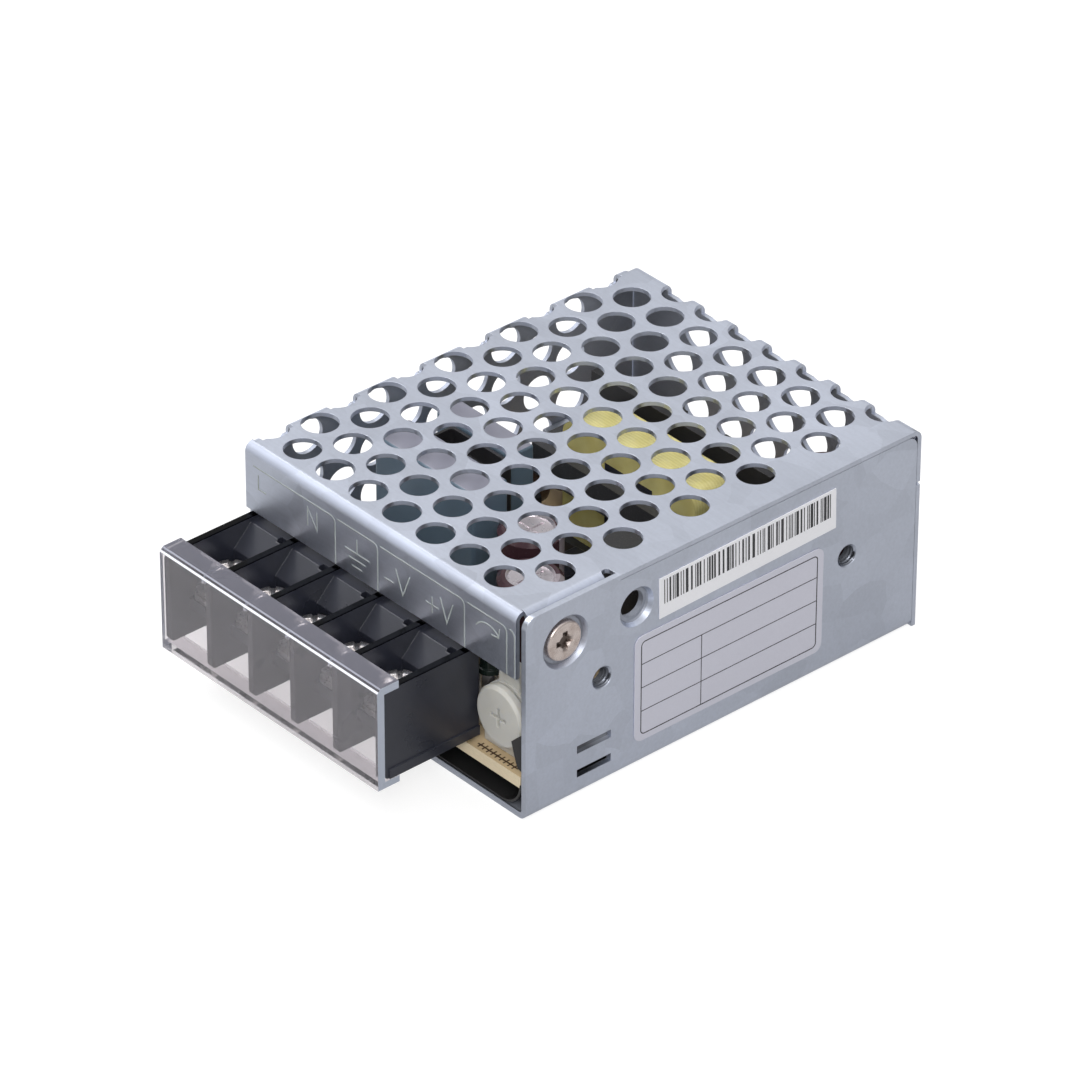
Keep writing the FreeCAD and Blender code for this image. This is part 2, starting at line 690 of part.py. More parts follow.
def barrier(x):
    """One upright wall between bays, stepped down in front for the clear cover."""
    strip_seat = BLOCK_TOP - STRIP_SEAT_DROP
    wall = block(x, BLOCK_FRONT, BLOCK_BOTTOM, x + BARRIER, BLOCK_REAR, BLOCK_TOP)
    step = block(x - 1, BLOCK_FRONT - 1, strip_seat, x + 2, BLOCK_FRONT + STRIP_SEAT_LENGTH,
                 BLOCK_TOP + 1)
    wall = wall.cut(step)
    return round_edges(wall, 0.6, lambda p, d: abs(d.x) > 0.99 and p.y < BLOCK_FRONT + 0.01)


def terminal_block():
    """Five open bays: barriers, seats for the tabs, rear ramps and screw wells."""
    walls = [barrier(BLOCK_LEFT + BAY_PITCH * i) for i in range(BAYS + 1)]
    x0 = BLOCK_LEFT
    x1 = BLOCK_RIGHT
    seat_front = BLOCK_FRONT + SEAT_FRONT_IN
    foot_front = BLOCK_FRONT + FOOT_FRONT_IN
    ramp_front = BLOCK_FRONT + RAMP_FRONT_IN
    section = [
        V(x0, foot_front, BLOCK_BOTTOM),
        V(x0, foot_front, SEAT_TOP - SEAT_THICKNESS),
        V(x0, seat_front, SEAT_TOP - SEAT_THICKNESS * 0.75),
        V(x0, seat_front, SEAT_TOP),
        V(x0, ramp_front, SEAT_TOP),
        V(x0, ramp_front, RAMP_BOTTOM),
        V(x0, ramp_front + RAMP_RISE, RAMP_BOTTOM + RAMP_RISE),
        V(x0, BLOCK_REAR, RAMP_BOTTOM + RAMP_RISE),
        V(x0, BLOCK_REAR, BLOCK_BOTTOM),
    ]
    body = prism(section, V(x1 - x0, 0, 0))
    foot = block(x1 - 0.1, BLOCK_FRONT + 0.6, BLOCK_BOTTOM, x1 + FOOT_STEP, BLOCK_REAR,
                 BLOCK_BOTTOM + FOOT_HEIGHT)
    cuts = []
    for bay in range(BAYS):
        x = bay_centre(bay)
        cuts.append(rod(TERMINAL_SHANK + 1.8, V(x, TERMINAL_Y, 5), V(0, 0, 1), 8))
        pocket = ramp_front + RAMP_RISE - 0.2
        cuts.append(block(x + 1.6, pocket, RAMP_BOTTOM, x + 2.8, pocket + 0.9, BLOCK_TOP))
    return fuse(walls + [body, foot]).cut(cuts)


def terminal_tabs():
    """Tinned tabs that the terminal screws thread into, each with a drawn collar."""
    tabs = []
    for bay in range(BAYS):
        x = bay_centre(bay)
        rear = TERMINAL_Y + TAB_DEPTH / 2
        front = TERMINAL_Y - TAB_DEPTH / 2
        plate = block(x - TAB_WIDTH / 2, front, SEAT_TOP, x + TAB_WIDTH / 2, rear, TAB_TOP)
        plate = round_edges(plate, 0.6, lambda p, d: abs(d.z) > 0.99)
        collar = rod(TERMINAL_SHANK + 2 * TAB_COLLAR_WALL,
                     V(x, TERMINAL_Y, SEAT_TOP - TAB_COLLAR_DEPTH), V(0, 0, 1),
                     TAB_COLLAR_DEPTH + 0.1)
        thread = rod(TERMINAL_SHANK + 0.1, V(x, TERMINAL_Y, 0), V(0, 0, 1), TOP)
        tabs.append(fuse([plate, collar]).cut(thread))
    return Part.makeCompound(tabs)


def terminal_washer(bay):
    """Square clamping washer with its corners rounded and its rear edge turned down a little."""
    x = bay_centre(bay)
    half = WASHER_SIDE / 2
    deep = WASHER_DEPTH / 2
    z0 = TAB_TOP + PART_SEAT
    z1 = WASHER_TOP
    plate = block(x - half, TERMINAL_Y - deep, z0, x + half, TERMINAL_Y + deep, z1)
    plate = round_edges(plate, 0.5, lambda p, d: abs(d.z) > 0.99)
    hole = rod(TERMINAL_SHANK + 0.2, V(x, TERMINAL_Y, 0), V(0, 0, 1), TOP)
    return plate.cut(hole)


def terminal_screw(bay):
    """Terminal screw standing on its washer."""
    base = V(bay_centre(bay), TERMINAL_Y, WASHER_TOP + PART_SEAT)
    head = pan_head(TERMINAL_HEAD, TERMINAL_HEAD_HEIGHT, base, V(0, 0, 1))
    shank = rod(TERMINAL_SHANK, base - V(0, 0, TERMINAL_LENGTH), V(0, 0, 1),
                TERMINAL_LENGTH + 0.1)
    return fuse([head, shank])


def terminal_cover():
    """Clear channel that snaps over the barrier fronts, with ribs beside the inner barriers."""
    x0 = BLOCK_LEFT - COVER_OVERHANG
    x1 = BLOCK_RIGHT + COVER_OVERHANG
    inner = BLOCK_FRONT - COVER_GAP
    outer = inner - COVER_WALL
    strip_bottom = BLOCK_TOP - STRIP_SEAT_DROP + COVER_GAP
    z1 = BLOCK_TOP + COVER_RISE
    foot_top = BLOCK_BOTTOM - COVER_GAP
    z0 = foot_top - COVER_WALL * 0.85
    back = BLOCK_FRONT + STRIP_SEAT_LENGTH - COVER_GAP
    section = [
        V(x0, back, z0),
        V(x0, outer, z0),
        V(x0, outer, z1 - COVER_BEVEL),
        V(x0, outer + COVER_BEVEL, z1),
        V(x0, back, z1),
        V(x0, back, strip_bottom),
        V(x0, inner, strip_bottom),
        V(x0, inner, foot_top),
        V(x0, back, foot_top),
    ]
    shape = prism(section, V(x1 - x0, 0, 0))
    ribs = []
    for wall in range(1, BAYS):
        x = BLOCK_LEFT + BAY_PITCH * wall - COVER_GAP - 0.5
        ribs.append(block(x, inner - 0.1, strip_bottom - 0.5, x + 0.5, back, strip_bottom + 0.1))
    return fuse([shape] + ribs)


def trimmer_body():
    """Upright trimming resistor on the board: back plate, drum and three legs."""
    face = FRONT + TRIMMER_FACE_IN
    back = face + TRIMMER_ROTOR
    radius = TRIMMER_DIAMETER / 2
    drum = rod(TRIMMER_DIAMETER, V(TRIMMER_X, back, TRIMMER_Z), V(0, 1, 0), TRIMMER_BODY)
    plate = block(TRIMMER_X - radius, back, SEAT, TRIMMER_X + radius, back + TRIMMER_BODY,
                  TRIMMER_Z)
    half = TRIMMER_CAP / 2
    cap_top = TRIMMER_Z + radius + TRIMMER_CAP_RISE
    cap = block(TRIMMER_X - half, back + 0.2, TRIMMER_Z + radius - 1, TRIMMER_X + half,
                back + TRIMMER_BODY, cap_top)
    cap = round_edges(cap, 0.9, lambda p, d: p.z > cap_top - 0.01 and abs(d.y) > 0.99)
    bore = rod(TRIMMER_PIVOT + 2 * TRIMMER_PIVOT_GAP, V(TRIMMER_X, face, TRIMMER_Z),
               V(0, 1, 0), TRIMMER_ROTOR + TRIMMER_PIVOT_LENGTH + 0.1)
    return fuse([drum, plate, cap]).cut(bore)


def trimmer_rotor():
    """Turning disc of the adjuster with a cross slot and a pivot behind it."""
    face = FRONT + TRIMMER_FACE_IN
    disc = drum(V(TRIMMER_X, face, TRIMMER_Z), V(0, 1, 0), TRIMMER_DIAMETER - 0.1,
                TRIMMER_ROTOR - PART_SEAT, TRIMMER_BEVEL)
    pivot = rod(TRIMMER_PIVOT, V(TRIMMER_X, face + TRIMMER_SLOT_DEPTH, TRIMMER_Z), V(0, 1, 0),
                TRIMMER_ROTOR + TRIMMER_PIVOT_LENGTH - TRIMMER_SLOT_DEPTH)
    slots = []
    long, short = TRIMMER_SLOT_LENGTH / 2, TRIMMER_SLOT / 2
    for half_x, half_z in ((long, short), (short, long)):
        slots.append(
            block(TRIMMER_X - half_x, face - 1, TRIMMER_Z - half_z, TRIMMER_X + half_x,
                  face + TRIMMER_SLOT_DEPTH, TRIMMER_Z + half_z)
        )
    return fuse([disc, pivot]).cut(slots)


def boxed_part(box, edge):
    """Box-shaped part standing on the board, with its upright and top edges rounded."""
    left_in, rear_in, wide, deep, top = box
    x = LEFT + left_in
    y = REAR - rear_in
    shape = block(x, y, SEAT, x + wide, y + deep, top)
    return round_edges(shape, edge, lambda p, d: p.z > SEAT + 0.01)


def can(x, y, diameter, top):
    """Electrolytic capacitor: can with a rolled neck and a scored vent on top."""
    radius = diameter / 2
    neck = SEAT + 1.6
    profile = [
        V(0, 0, SEAT),
        V(radius, 0, SEAT),
        V(radius, 0, neck - 0.5),
        V(radius - 0.35, 0, neck),
        V(radius, 0, neck + 0.5),
        V(radius, 0, top - 0.5),
        V(radius - 0.5, 0, top),
        V(radius - 1.1, 0, top),
        V(radius - 1.3, 0, top - 0.3),
        V(0, 0, top - 0.3),
    ]
    face = Part.Face(Part.makePolygon(profile + [profile[0]]))
    shape = face.revolve(V(0, 0, 0), V(0, 0, 1), 360)
    reach = radius - 2.0
    for half_x, half_y in ((reach, 0.15), (0.15, reach)):
        shape = shape.cut(block(-half_x, -half_y, top - 0.45, half_x, half_y, top))
    shape.translate(V(x, y, 0))
    return shape


def transformer_core():
    """Two ferrite E halves closed round the winding at half height."""
    x0 = WINDING_LEFT - CORE_LEG - CORE_GAP
    x1 = WINDING_LEFT + WINDING_WIDE + CORE_LEG + CORE_GAP
    y0 = WINDING_FRONT - 0.2
    y1 = WINDING_REAR + 0.2
    outer = block(x0, y0 - YOKE, CORE_BOTTOM, x1, y1 + YOKE, CORE_TOP)
    window = block(x0 + CORE_LEG, y0, CORE_BOTTOM - 1, x1 - CORE_LEG, y1, CORE_TOP + 1)
    half = CENTRE_LEG / 2
    leg = block(WINDING_MIDDLE - half, y0 - 0.5, CORE_BOTTOM, WINDING_MIDDLE + half, y1 + 0.5,
                CORE_TOP)
    frame = round_edges(outer.cut(window), 0.5, lambda p, d: abs(d.z) > 0.99)
    return frame.fuse(leg).removeSplitter()


def transformer_bobbin():
    """Black bobbin: foot on the board, pillar under the winding and tube round the leg."""
    rim = BOBBIN_RIM
    foot = block(WINDING_LEFT - rim, WINDING_FRONT - rim, SEAT,
                 WINDING_LEFT + WINDING_WIDE + rim, WINDING_REAR + rim, WINDING_BOTTOM - 0.05)
    foot = round_edges(foot, 0.8, lambda p, d: abs(d.z) > 0.99)
    bore_half = CENTRE_LEG / 2 + 0.1
    half = bore_half + BOBBIN_WALL
    left = WINDING_MIDDLE - half
    right = WINDING_MIDDLE + half
    tube = block(left, WINDING_FRONT, CORE_BOTTOM - 0.8, right, WINDING_REAR, CORE_TOP + 0.8)
    post = block(left, WINDING_FRONT, WINDING_BOTTOM - 0.5, right, WINDING_REAR, CORE_BOTTOM)
    bore = block(WINDING_MIDDLE - bore_half, WINDING_FRONT - 1, CORE_BOTTOM - 0.1,
                 WINDING_MIDDLE + bore_half, WINDING_REAR + 1, CORE_TOP + 0.1)
    return fuse([foot, tube, post]).cut(bore)


def transformer_winding():
    """Taped winding with rounded turns, hollow round the bobbin."""
    shape = block(WINDING_LEFT, WINDING_FRONT, WINDING_BOTTOM, WINDING_LEFT + WINDING_WIDE,
                  WINDING_REAR, WINDING_TOP)
    shape = round_edges(shape, WINDING_ROUND, lambda p, d: abs(d.y) > 0.99)
    half = CENTRE_LEG / 2 + 0.1 + BOBBIN_WALL + PART_SEAT
    hollow = block(WINDING_MIDDLE - half, WINDING_FRONT - 1, WINDING_BOTTOM - 1,
                   WINDING_MIDDLE + half, WINDING_REAR + 1, CORE_TOP + 0.85)
    return shape.cut(hollow)


def heatsink():
    """Black comb-shaped heatsink behind the transformer."""
    right = HEATSINK_LEFT + HEATSINK_WIDE
    wall = block(HEATSINK_LEFT, HEATSINK_FACE - HEATSINK_SHEET, SEAT, right, HEATSINK_FACE,
                 HEATSINK_TOP)
    fins = []
    count = int((HEATSINK_WIDE - FINS_FROM - FINS_END_IN - FIN) / FIN_PITCH) + 1
    for i in range(count):
        at = HEATSINK_LEFT + FINS_FROM + FIN_PITCH * i
        fins.append(block(at, HEATSINK_FACE - 0.1, SEAT + 2, at + FIN, HEATSINK_FACE + FIN_DEPTH,
                          HEATSINK_TOP))
    return fuse([wall] + fins)


def power_transistor():
    """Tab package flat against the bare end of the heatsink."""
    face = HEATSINK_FACE + PART_SEAT
    left = HEATSINK_LEFT + TRANSISTOR_IN
    right = left + TRANSISTOR_WIDE
    middle = (left + right) / 2
    body = block(left, face, TRANSISTOR_BOTTOM, right, face + TRANSISTOR_DEEP,
                 TRANSISTOR_BODY_TOP)
    body = round_edges(body, 0.4, lambda p, d: p.y > face + 0.1)
    tab = block(left, face, TRANSISTOR_BODY_TOP - 0.1, right, face + TRANSISTOR_TAB_SHEET,
                TRANSISTOR_TAB_TOP)
    hole_z = TRANSISTOR_TAB_TOP - TRANSISTOR_HOLE_DROP
    hole = rod(TRANSISTOR_HOLE, V(middle, face - 1, hole_z), V(0, 1, 0), TRANSISTOR_DEEP)
    legs = []
    for i in (-1, 0, 1):
        at = middle + TRANSISTOR_LEG_PITCH * i - TRANSISTOR_LEG / 2
        legs.append(block(at, face + 2.0, SEAT, at + TRANSISTOR_LEG, face + 2.6,
                          TRANSISTOR_BOTTOM + 0.4))
    return fuse([body, tab] + legs).cut(hole)


def drum(start, axis, diameter, length, bevel):
    """Round body with bevelled rims."""
    inner = diameter / 2 - bevel
    return fuse([
        Part.makeCone(inner, diameter / 2, bevel, start, axis),
        rod(diameter, start + axis * bevel, axis, length - 2 * bevel),
        Part.makeCone(diameter / 2, inner, bevel, start + axis * (length - bevel), axis),
    ])


def upright_disc(x, y, diameter, thick, lift):
    """Disc-shaped part standing on two leads, its flat faces to front and rear."""
    radius = diameter / 2
    centre = SEAT + lift + radius
    disc = drum(V(x, y - thick / 2, centre), V(0, 1, 0), diameter, thick, thick * 0.3)
    leads = [rod(0.7, V(x + s * radius * 0.55, y, SEAT), V(0, 0, 1), lift + radius * 0.5)
             for s in (-1, 1)]
    return fuse([disc] + leads)


def y_capacitors():
    """Two small safety discs at the left wall."""
    x = LEFT + Y_CAP_LEFT_IN
    return Part.makeCompound([
        upright_disc(x, REAR - rear_in, Y_CAP_DIAMETER, Y_CAP_THICK, Y_CAP_LIFT)
        for rear_in in Y_CAP_REAR_INS
    ])


def rectifier_bridge():
    """Flat bridge rectifier with one chamfered corner."""
    x = LEFT + BRIDGE_PLACE[0] - BRIDGE_WIDE / 2
    y = REAR - BRIDGE_PLACE[1] - BRIDGE_DEEP / 2
    z = SEAT + BRIDGE_LIFT
    shape = block(x, y, z, x + BRIDGE_WIDE, y + BRIDGE_DEEP, z + BRIDGE_HIGH)
    corner = [e for e in shape.Edges if abs(e.tangentAt(0).y) > 0.99]
    corner = [e for e in corner if e.CenterOfMass.x > x + 1 and e.CenterOfMass.z > z + 1]
    shape = shape.makeChamfer(BRIDGE_CORNER, corner)
    legs = []
    for i in range(BRIDGE_LEGS):
        at = x + 0.6 + BRIDGE_LEG_PITCH * i
        legs.append(block(at, y + 2.0, SEAT, at + 0.8, y + 2.5, z + 0.1))
    return fuse([shape] + legs)


def line_choke():
    """Choke in an open-topped black box."""
    left_in, rear_in, wide, deep, top = CHOKE_BOX
    x = LEFT + left_in
    y = REAR - rear_in
    pocket = block(x + CHOKE_RIM, y + CHOKE_RIM, top - CHOKE_RECESS, x + wide - CHOKE_RIM,
                   y + deep - CHOKE_RIM, top + 1)
    return boxed_part(CHOKE_BOX, 0.6).cut(round_edges(pocket, 0.5, lambda p, d: abs(d.z) > 0.99))


def fuse_holder():
    """Round board fuse on two leads."""
    x = LEFT + FUSE_PLACE[0]
    y = REAR - FUSE_PLACE[1]
    up = V(0, 0, 1)
    can_shape = drum(V(x, y, SEAT + FUSE_LIFT), up, FUSE_DIAMETER, FUSE_HIGH, 0.5)
    leads = [rod(LEAD, V(x + s * 2.5, y, SEAT), up, FUSE_LIFT + 0.4) for s in (-1, 1)]
    return fuse([can_shape] + leads)


def thermistor():
    """Inrush limiter: a thick disc standing on two leads."""
    x = LEFT + THERMISTOR_PLACE[0]
    y = REAR - THERMISTOR_PLACE[1]
    return upright_disc(x, y, THERMISTOR_DIAMETER, THERMISTOR_THICK, THERMISTOR_LIFT)


def optocoupler():
    """Four-legged optocoupler."""
    x = LEFT + OPTO_PLACE[0]
    y = REAR - OPTO_PLACE[1]
    wide = OPTO_WIDE / 2
    deep = OPTO_LONG / 2
    z = SEAT + OPTO_LIFT
    body = block(x - wide, y - deep, z, x + wide, y + deep, z + OPTO_HIGH)
    body = round_edges(body, 0.3, lambda p, d: p.z > z + OPTO_HIGH - 0.1)
    legs = []
    for side in (-1, 1):
        for end in (-1, 1):
            at_x = x + side * (wide + 0.2)
            at_y = y + end * OPTO_LEG_PITCH / 2
            legs.append(block(at_x - 0.3, at_y - OPTO_LEG / 2, SEAT, at_x + 0.3,
                              at_y + OPTO_LEG / 2, z + OPTO_HIGH / 2))
    return fuse([body] + legs)


def output_inductor():
    """Drum inductor: two ferrite flanges with the winding between them."""
    base = V(RIGHT - INDUCTOR_RIGHT_IN, REAR - INDUCTOR_REAR_IN, SEAT)
    up = V(0, 0, 1)
    high = up * (INDUCTOR_HIGH - INDUCTOR_FLANGE)
    return fuse([
        rod(INDUCTOR_DIAMETER, base, up, INDUCTOR_FLANGE),
        rod(INDUCTOR_CORE, base + up, up, INDUCTOR_HIGH - 2),
        rod(INDUCTOR_DIAMETER, base + high, up, INDUCTOR_FLANGE),
    ])


def output_diode():
    """Diode standing on end with its lead looped over to the board."""
    x = RIGHT - DIODE_RIGHT_IN
    y = REAR - DIODE_REAR_IN
    up = V(0, 0, 1)
    bottom = SEAT + DIODE_LIFT
    top = bottom + DIODE_HIGH
    half = DIODE_LEAD_REACH / 2
    body = rod(DIODE_DIAMETER, V(x, y, bottom), up, DIODE_HIGH)
    stub = rod(DIODE_LEAD, V(x, y, SEAT), up, DIODE_LIFT + 0.2)
    bow = Part.makeTorus(half, DIODE_LEAD / 2, V(x, y - half, top), V(1, 0, 0))
    bow = bow.common(block(x - 2, y - 4 * half, top, x + 2, y + 2 * half, top + 2 * half))
    down = rod(DIODE_LEAD, V(x, y - 2 * half, SEAT), up, top - SEAT)
    return fuse([body, stub, bow, down])


def label(corner, tilt):
    """Rounded sticker on the label plate: start and size along Y and Z, tilt in degrees."""
    y, z, wide, high = corner
    x = RIGHT + LABEL_GAP
    shape = block(x, y, z, x + LABEL_SHEET, y + wide, z + high)
    if tilt:
        shape.rotate(V(x, y, z), V(1, 0, 0), tilt)
        return shape
    return round_edges(shape, LABEL_CORNER, lambda p, d: abs(d.x) > 0.99)


def parts():
    """Every node of the part by name."""
    found = {
        "chassis": chassis(),
        "mesh_cover": mesh_cover(),
        "case_screws": case_screws(),
        "insulation_sheet": insulation_sheet(),
        "circuit_board": circuit_board(),
        "board_screws": board_screws(),
        "terminal_block": terminal_block(),
        "terminal_tabs": terminal_tabs(),
        "terminal_cover": terminal_cover(),
        "trimmer_body": trimmer_body(),
        "trimmer_rotor": trimmer_rotor(),
        "x2_capacitor": boxed_part(X2_BOX, 0.5),
        "line_choke": line_choke(),
        "film_capacitor": boxed_part(FILM_BOX, 0.4),
        "bulk_capacitor": can(RIGHT - BULK_PLACE[0], REAR - BULK_PLACE[1], BULK_DIAMETER,
                              BULK_TOP),
        "transformer_core": transformer_core(),
        "transformer_bobbin": transformer_bobbin(),
        "transformer_winding": transformer_winding(),
        "heatsink": heatsink(),
        "power_transistor": power_transistor(),
        "rectifier_bridge": rectifier_bridge(),
        "board_fuse": fuse_holder(),
        "thermistor": thermistor(),
        "y_capacitors": y_capacitors(),
        "optocoupler": optocoupler(),
        "output_inductor": output_inductor(),
        "output_diode": output_diode(),
        "rating_label": label(RATING, 0),
        "barcode_label": label(
            (BARCODE_START, TOP - BARCODE_DROP, BARCODE_WIDE, BARCODE_HIGH), BARCODE_TILT
        ),
    }
    found["output_capacitor_1"] = can(LEFT + OUTPUT_CAP_1[0], REAR - OUTPUT_CAP_1[1],
                                      OUTPUT_CAP_DIAMETER, OUTPUT_CAP_TOP)
    found["output_capacitor_2"] = can(LEFT + OUTPUT_CAP_2[0], REAR - OUTPUT_CAP_2[1],
                                      OUTPUT_CAP_DIAMETER, OUTPUT_CAP_TOP)
    for bay in range(BAYS):
        found[f"terminal_screw_{bay + 1}"] = terminal_screw(bay)
        found[f"terminal_washer_{bay + 1}"] = terminal_washer(bay)
    return found


os.makedirs("parts", exist_ok=True)
for name, shape in parts().items():
    shape.exportStep(f"parts/{name}.step")
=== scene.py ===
"""Looks of a small enclosed switching power supply with a perforated folded cover.

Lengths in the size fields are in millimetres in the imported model's frame: X towards the
label plate, -Y towards the screw terminals, Z up from the underside of the case. Scales of
noise count features for each metre; depths of bumps and radii of bevels are in metres.
"""

import logging
import math
from dataclasses import dataclass
from enum import Enum
from functools import partialmethod
from typing import Any, Sequence

import bpy
import numpy as np
from mathutils import Matrix, Vector


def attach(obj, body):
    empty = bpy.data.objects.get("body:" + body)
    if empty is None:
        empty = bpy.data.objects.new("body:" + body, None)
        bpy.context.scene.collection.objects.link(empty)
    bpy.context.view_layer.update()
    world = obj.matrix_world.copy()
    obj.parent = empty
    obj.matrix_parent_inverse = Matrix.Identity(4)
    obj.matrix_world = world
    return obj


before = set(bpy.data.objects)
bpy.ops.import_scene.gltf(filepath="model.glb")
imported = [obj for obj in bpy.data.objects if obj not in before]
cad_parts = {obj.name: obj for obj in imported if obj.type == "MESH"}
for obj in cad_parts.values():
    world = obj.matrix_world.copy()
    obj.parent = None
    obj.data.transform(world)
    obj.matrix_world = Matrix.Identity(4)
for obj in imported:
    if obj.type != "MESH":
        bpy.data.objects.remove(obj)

MM = 0.001
log = logging.getLogger("power_supply")
Pair = tuple[float, float]
Color = Triple = tuple[float, float, float]
Row = Sequence[float]
Array = np.ndarray
Socket = bpy.types.NodeSocket
Material = bpy.types.Material
Points = tuple[Pair, ...]
WHITE: Color = (1.0, 1.0, 1.0)
NOISE_LOW, NOISE_HIGH = 0.3, 0.7


# Shader graphs


class Graph:
    """Node tree of a material or of the world, with short calls that add and join its nodes."""

    def __init__(self, name: str, world: bool = False) -> None:
        """Start an empty tree.

        Args:
            name: Name of the material or world.
            world: The tree belongs to a world.
        """
        self.owner = (bpy.data.worlds if world else bpy.data.materials).new(name)
        self.owner.use_nodes = True
        self.tree = self.owner.node_tree
        self.tree.nodes.clear()
        self.output = self.node("ShaderNodeOutputWorld" if world else "ShaderNodeOutputMaterial")
        self.place = self.node("ShaderNodeTexCoord").outputs["Generated" if world else "Object"]

    def node(self, kind: str, inputs: dict[Any, Any] | None = None, **settings: Any) -> bpy.types.Node:
        """Add a node.

        Args:
            kind: Blender's node type.
            inputs: Value or socket for each input, by name or number.
            settings: Attributes of the node.

        Returns:
            The new node.
        """
        node = self.tree.nodes.new(kind)
        for key, value in settings.items():
            setattr(node, key, value)
        for key, value in (inputs or {}).items():
            self.feed(node.inputs[key], value)
        return node

    def feed(self, socket: Socket, value: Any) -> None:
        """Join a socket to another, or set its value.

        Args:
            socket: Input to feed.
            value: Socket, number, vector or colour.
        """
        if isinstance(value, Socket):
            self.tree.links.new(value, socket)
        elif isinstance(value, tuple) and len(value) == 3 and socket.type == "RGBA":
            socket.default_value = (*value, 1.0)
        else:
            socket.default_value = value

    def axes(self, vector: Socket | None = None) -> list[Socket]:
        """X, Y and Z of a vector, by default of the shaded point."""
        return list(self.node("ShaderNodeSeparateXYZ", {0: vector or self.place}).outputs)

    def facing(self) -> list[Socket]:
        """X, Y and Z of the direction that the face looks in."""
        return self.axes(self.node("ShaderNodeNewGeometry").outputs["True Normal"])

    def stretched(self, scale: Row) -> Socket:
        """Object coordinates scaled along each axis."""
        return self.node("ShaderNodeMapping", {"Vector": self.place, "Scale": tuple(scale)}).outputs[0]

    def noise(self, scale: float, detail: float = 3.0, vector: Socket | None = None) -> Socket:
        """Fractal noise from 0 to 1.

        Args:
            scale: Features for each metre.
            detail: Octaves.
            vector: Coordinates, the object's own by default.

        Returns:
            The noise value.
        """
        inputs = {"Vector": vector or self.place, "Scale": scale, "Detail": detail}
        return self.node("ShaderNodeTexNoise", inputs).outputs[0]

    def calc(self, operation: str, first: Any, *others: Any) -> Socket:
        """Math nodes in a chain, with short names below for the operations that come often.

        Args:
            operation: Blender's name of the operation.
            first: Value that the chain starts with.
            others: Values that are joined to it in turn; none where the operation takes one.

        Returns:
            The result.
        """
        result = first
        for other in others or (0.0,):
            result = self.node("ShaderNodeMath", {0: result, 1: other}, operation=operation).outputs[0]
        return result

    times = partialmethod(calc, "MULTIPLY")
    plus = partialmethod(calc, "ADD")
    minus = partialmethod(calc, "SUBTRACT")
    most = partialmethod(calc, "MAXIMUM")
    over = partialmethod(calc, "GREATER_THAN")
    under = partialmethod(calc, "LESS_THAN")
    size = partialmethod(calc, "ABSOLUTE")

    def length(self, a: Any, b: Any) -> Socket:
        """Root of a squared plus b squared."""
        return self.calc("SQRT", self.plus(self.times(a, a), self.times(b, b)))

    def span(self, value: Any, low: Any, high: Any, out_low: Any, out_high: Any) -> Socket:
        """Value moved from one range to another and held inside it.

        Args:
            value: Socket to move.
            low: Start of the range it comes from.
            high: End of the range it comes from.
            out_low: Start of the range it goes to.
            out_high: End of the range it goes to.

        Returns:
            The moved value.
        """
        inputs = {0: value, 1: low, 2: high, 3: out_low, 4: out_high}
        return self.node("ShaderNodeMapRange", inputs).outputs[0]

    def sway(self, noise: Socket, low: float, high: float) -> Socket:
        """Noise whose usual range is moved to low and high."""
        return self.span(noise, NOISE_LOW, NOISE_HIGH, low, high)

    def fall(self, mask: Socket, share: float) -> Socket:
        """One outside a mask and the share inside it."""
        return self.span(mask, 0.0, 1.0, 1.0, share)

    def mix(self, share: Any, a: Any, b: Any, blend: str = "MIX") -> Socket:
        """Blend of two colours.

        Args:
            share: Share of the second colour.
            a: First colour.
            b: Second colour.
            blend: Blend type.

        Returns:
            The blended colour.
        """
        inputs = {0: share, 6: a, 7: b}
        return self.node("ShaderNodeMix", inputs, data_type="RGBA", blend_type=blend).outputs[2]

    def bump(self, height: Any, depth: float, normal: Any = None) -> Socket:
        """Normal bent by a height field.

        Args:
            height: Height from 0 to 1.
            depth: Height of 1 in metres.
            normal: Normal that is bent.

        Returns:
            The bent normal.
        """
        node = self.node("ShaderNodeBump", {"Height": height, "Distance": depth, "Strength": 1.0})
        if normal is not None:
            self.feed(node.inputs["Normal"], normal)
        return node.outputs[0]

    def bevel(self, radius: float) -> Socket:
        """Normal that is rounded beside sharp edges."""
        return self.node("ShaderNodeBevel", {"Radius": radius}, samples=4).outputs[0]

    def seen(self) -> Socket:
        """One for rays of the camera, also those that have passed a clear part."""
        rays = self.node("ShaderNodeLightPath").outputs
        return self.most(rays["Is Camera Ray"], rays["Is Transmission Ray"])

    def close(self, shader: bpy.types.Node) -> Any:
        """Join the last shader to the output and return the finished material or world."""
        self.feed(self.output.inputs[0], shader.outputs[0])
        return self.owner

    def surface(self, color: Any, rough: Any, normal: Any, more: dict[str, Any] | None = None) -> Material:
        """Finish the material with one Principled shader.

        Args:
            color: Its base colour.
            rough: Its roughness.
            normal: Its normal.
            more: Value or socket for each other input that is set.

        Returns:
            The finished material.
        """
        inputs = {"Base Color": color, "Roughness": rough, "Normal": normal} | (more or {})
        return self.close(self.node("ShaderNodeBsdfPrincipled", inputs))


def scaled(color: Color, share: float) -> Color:
    """A colour made darker or paler, up to white."""
    return tuple(min(1.0, value * share) for value in color)


# Finishes


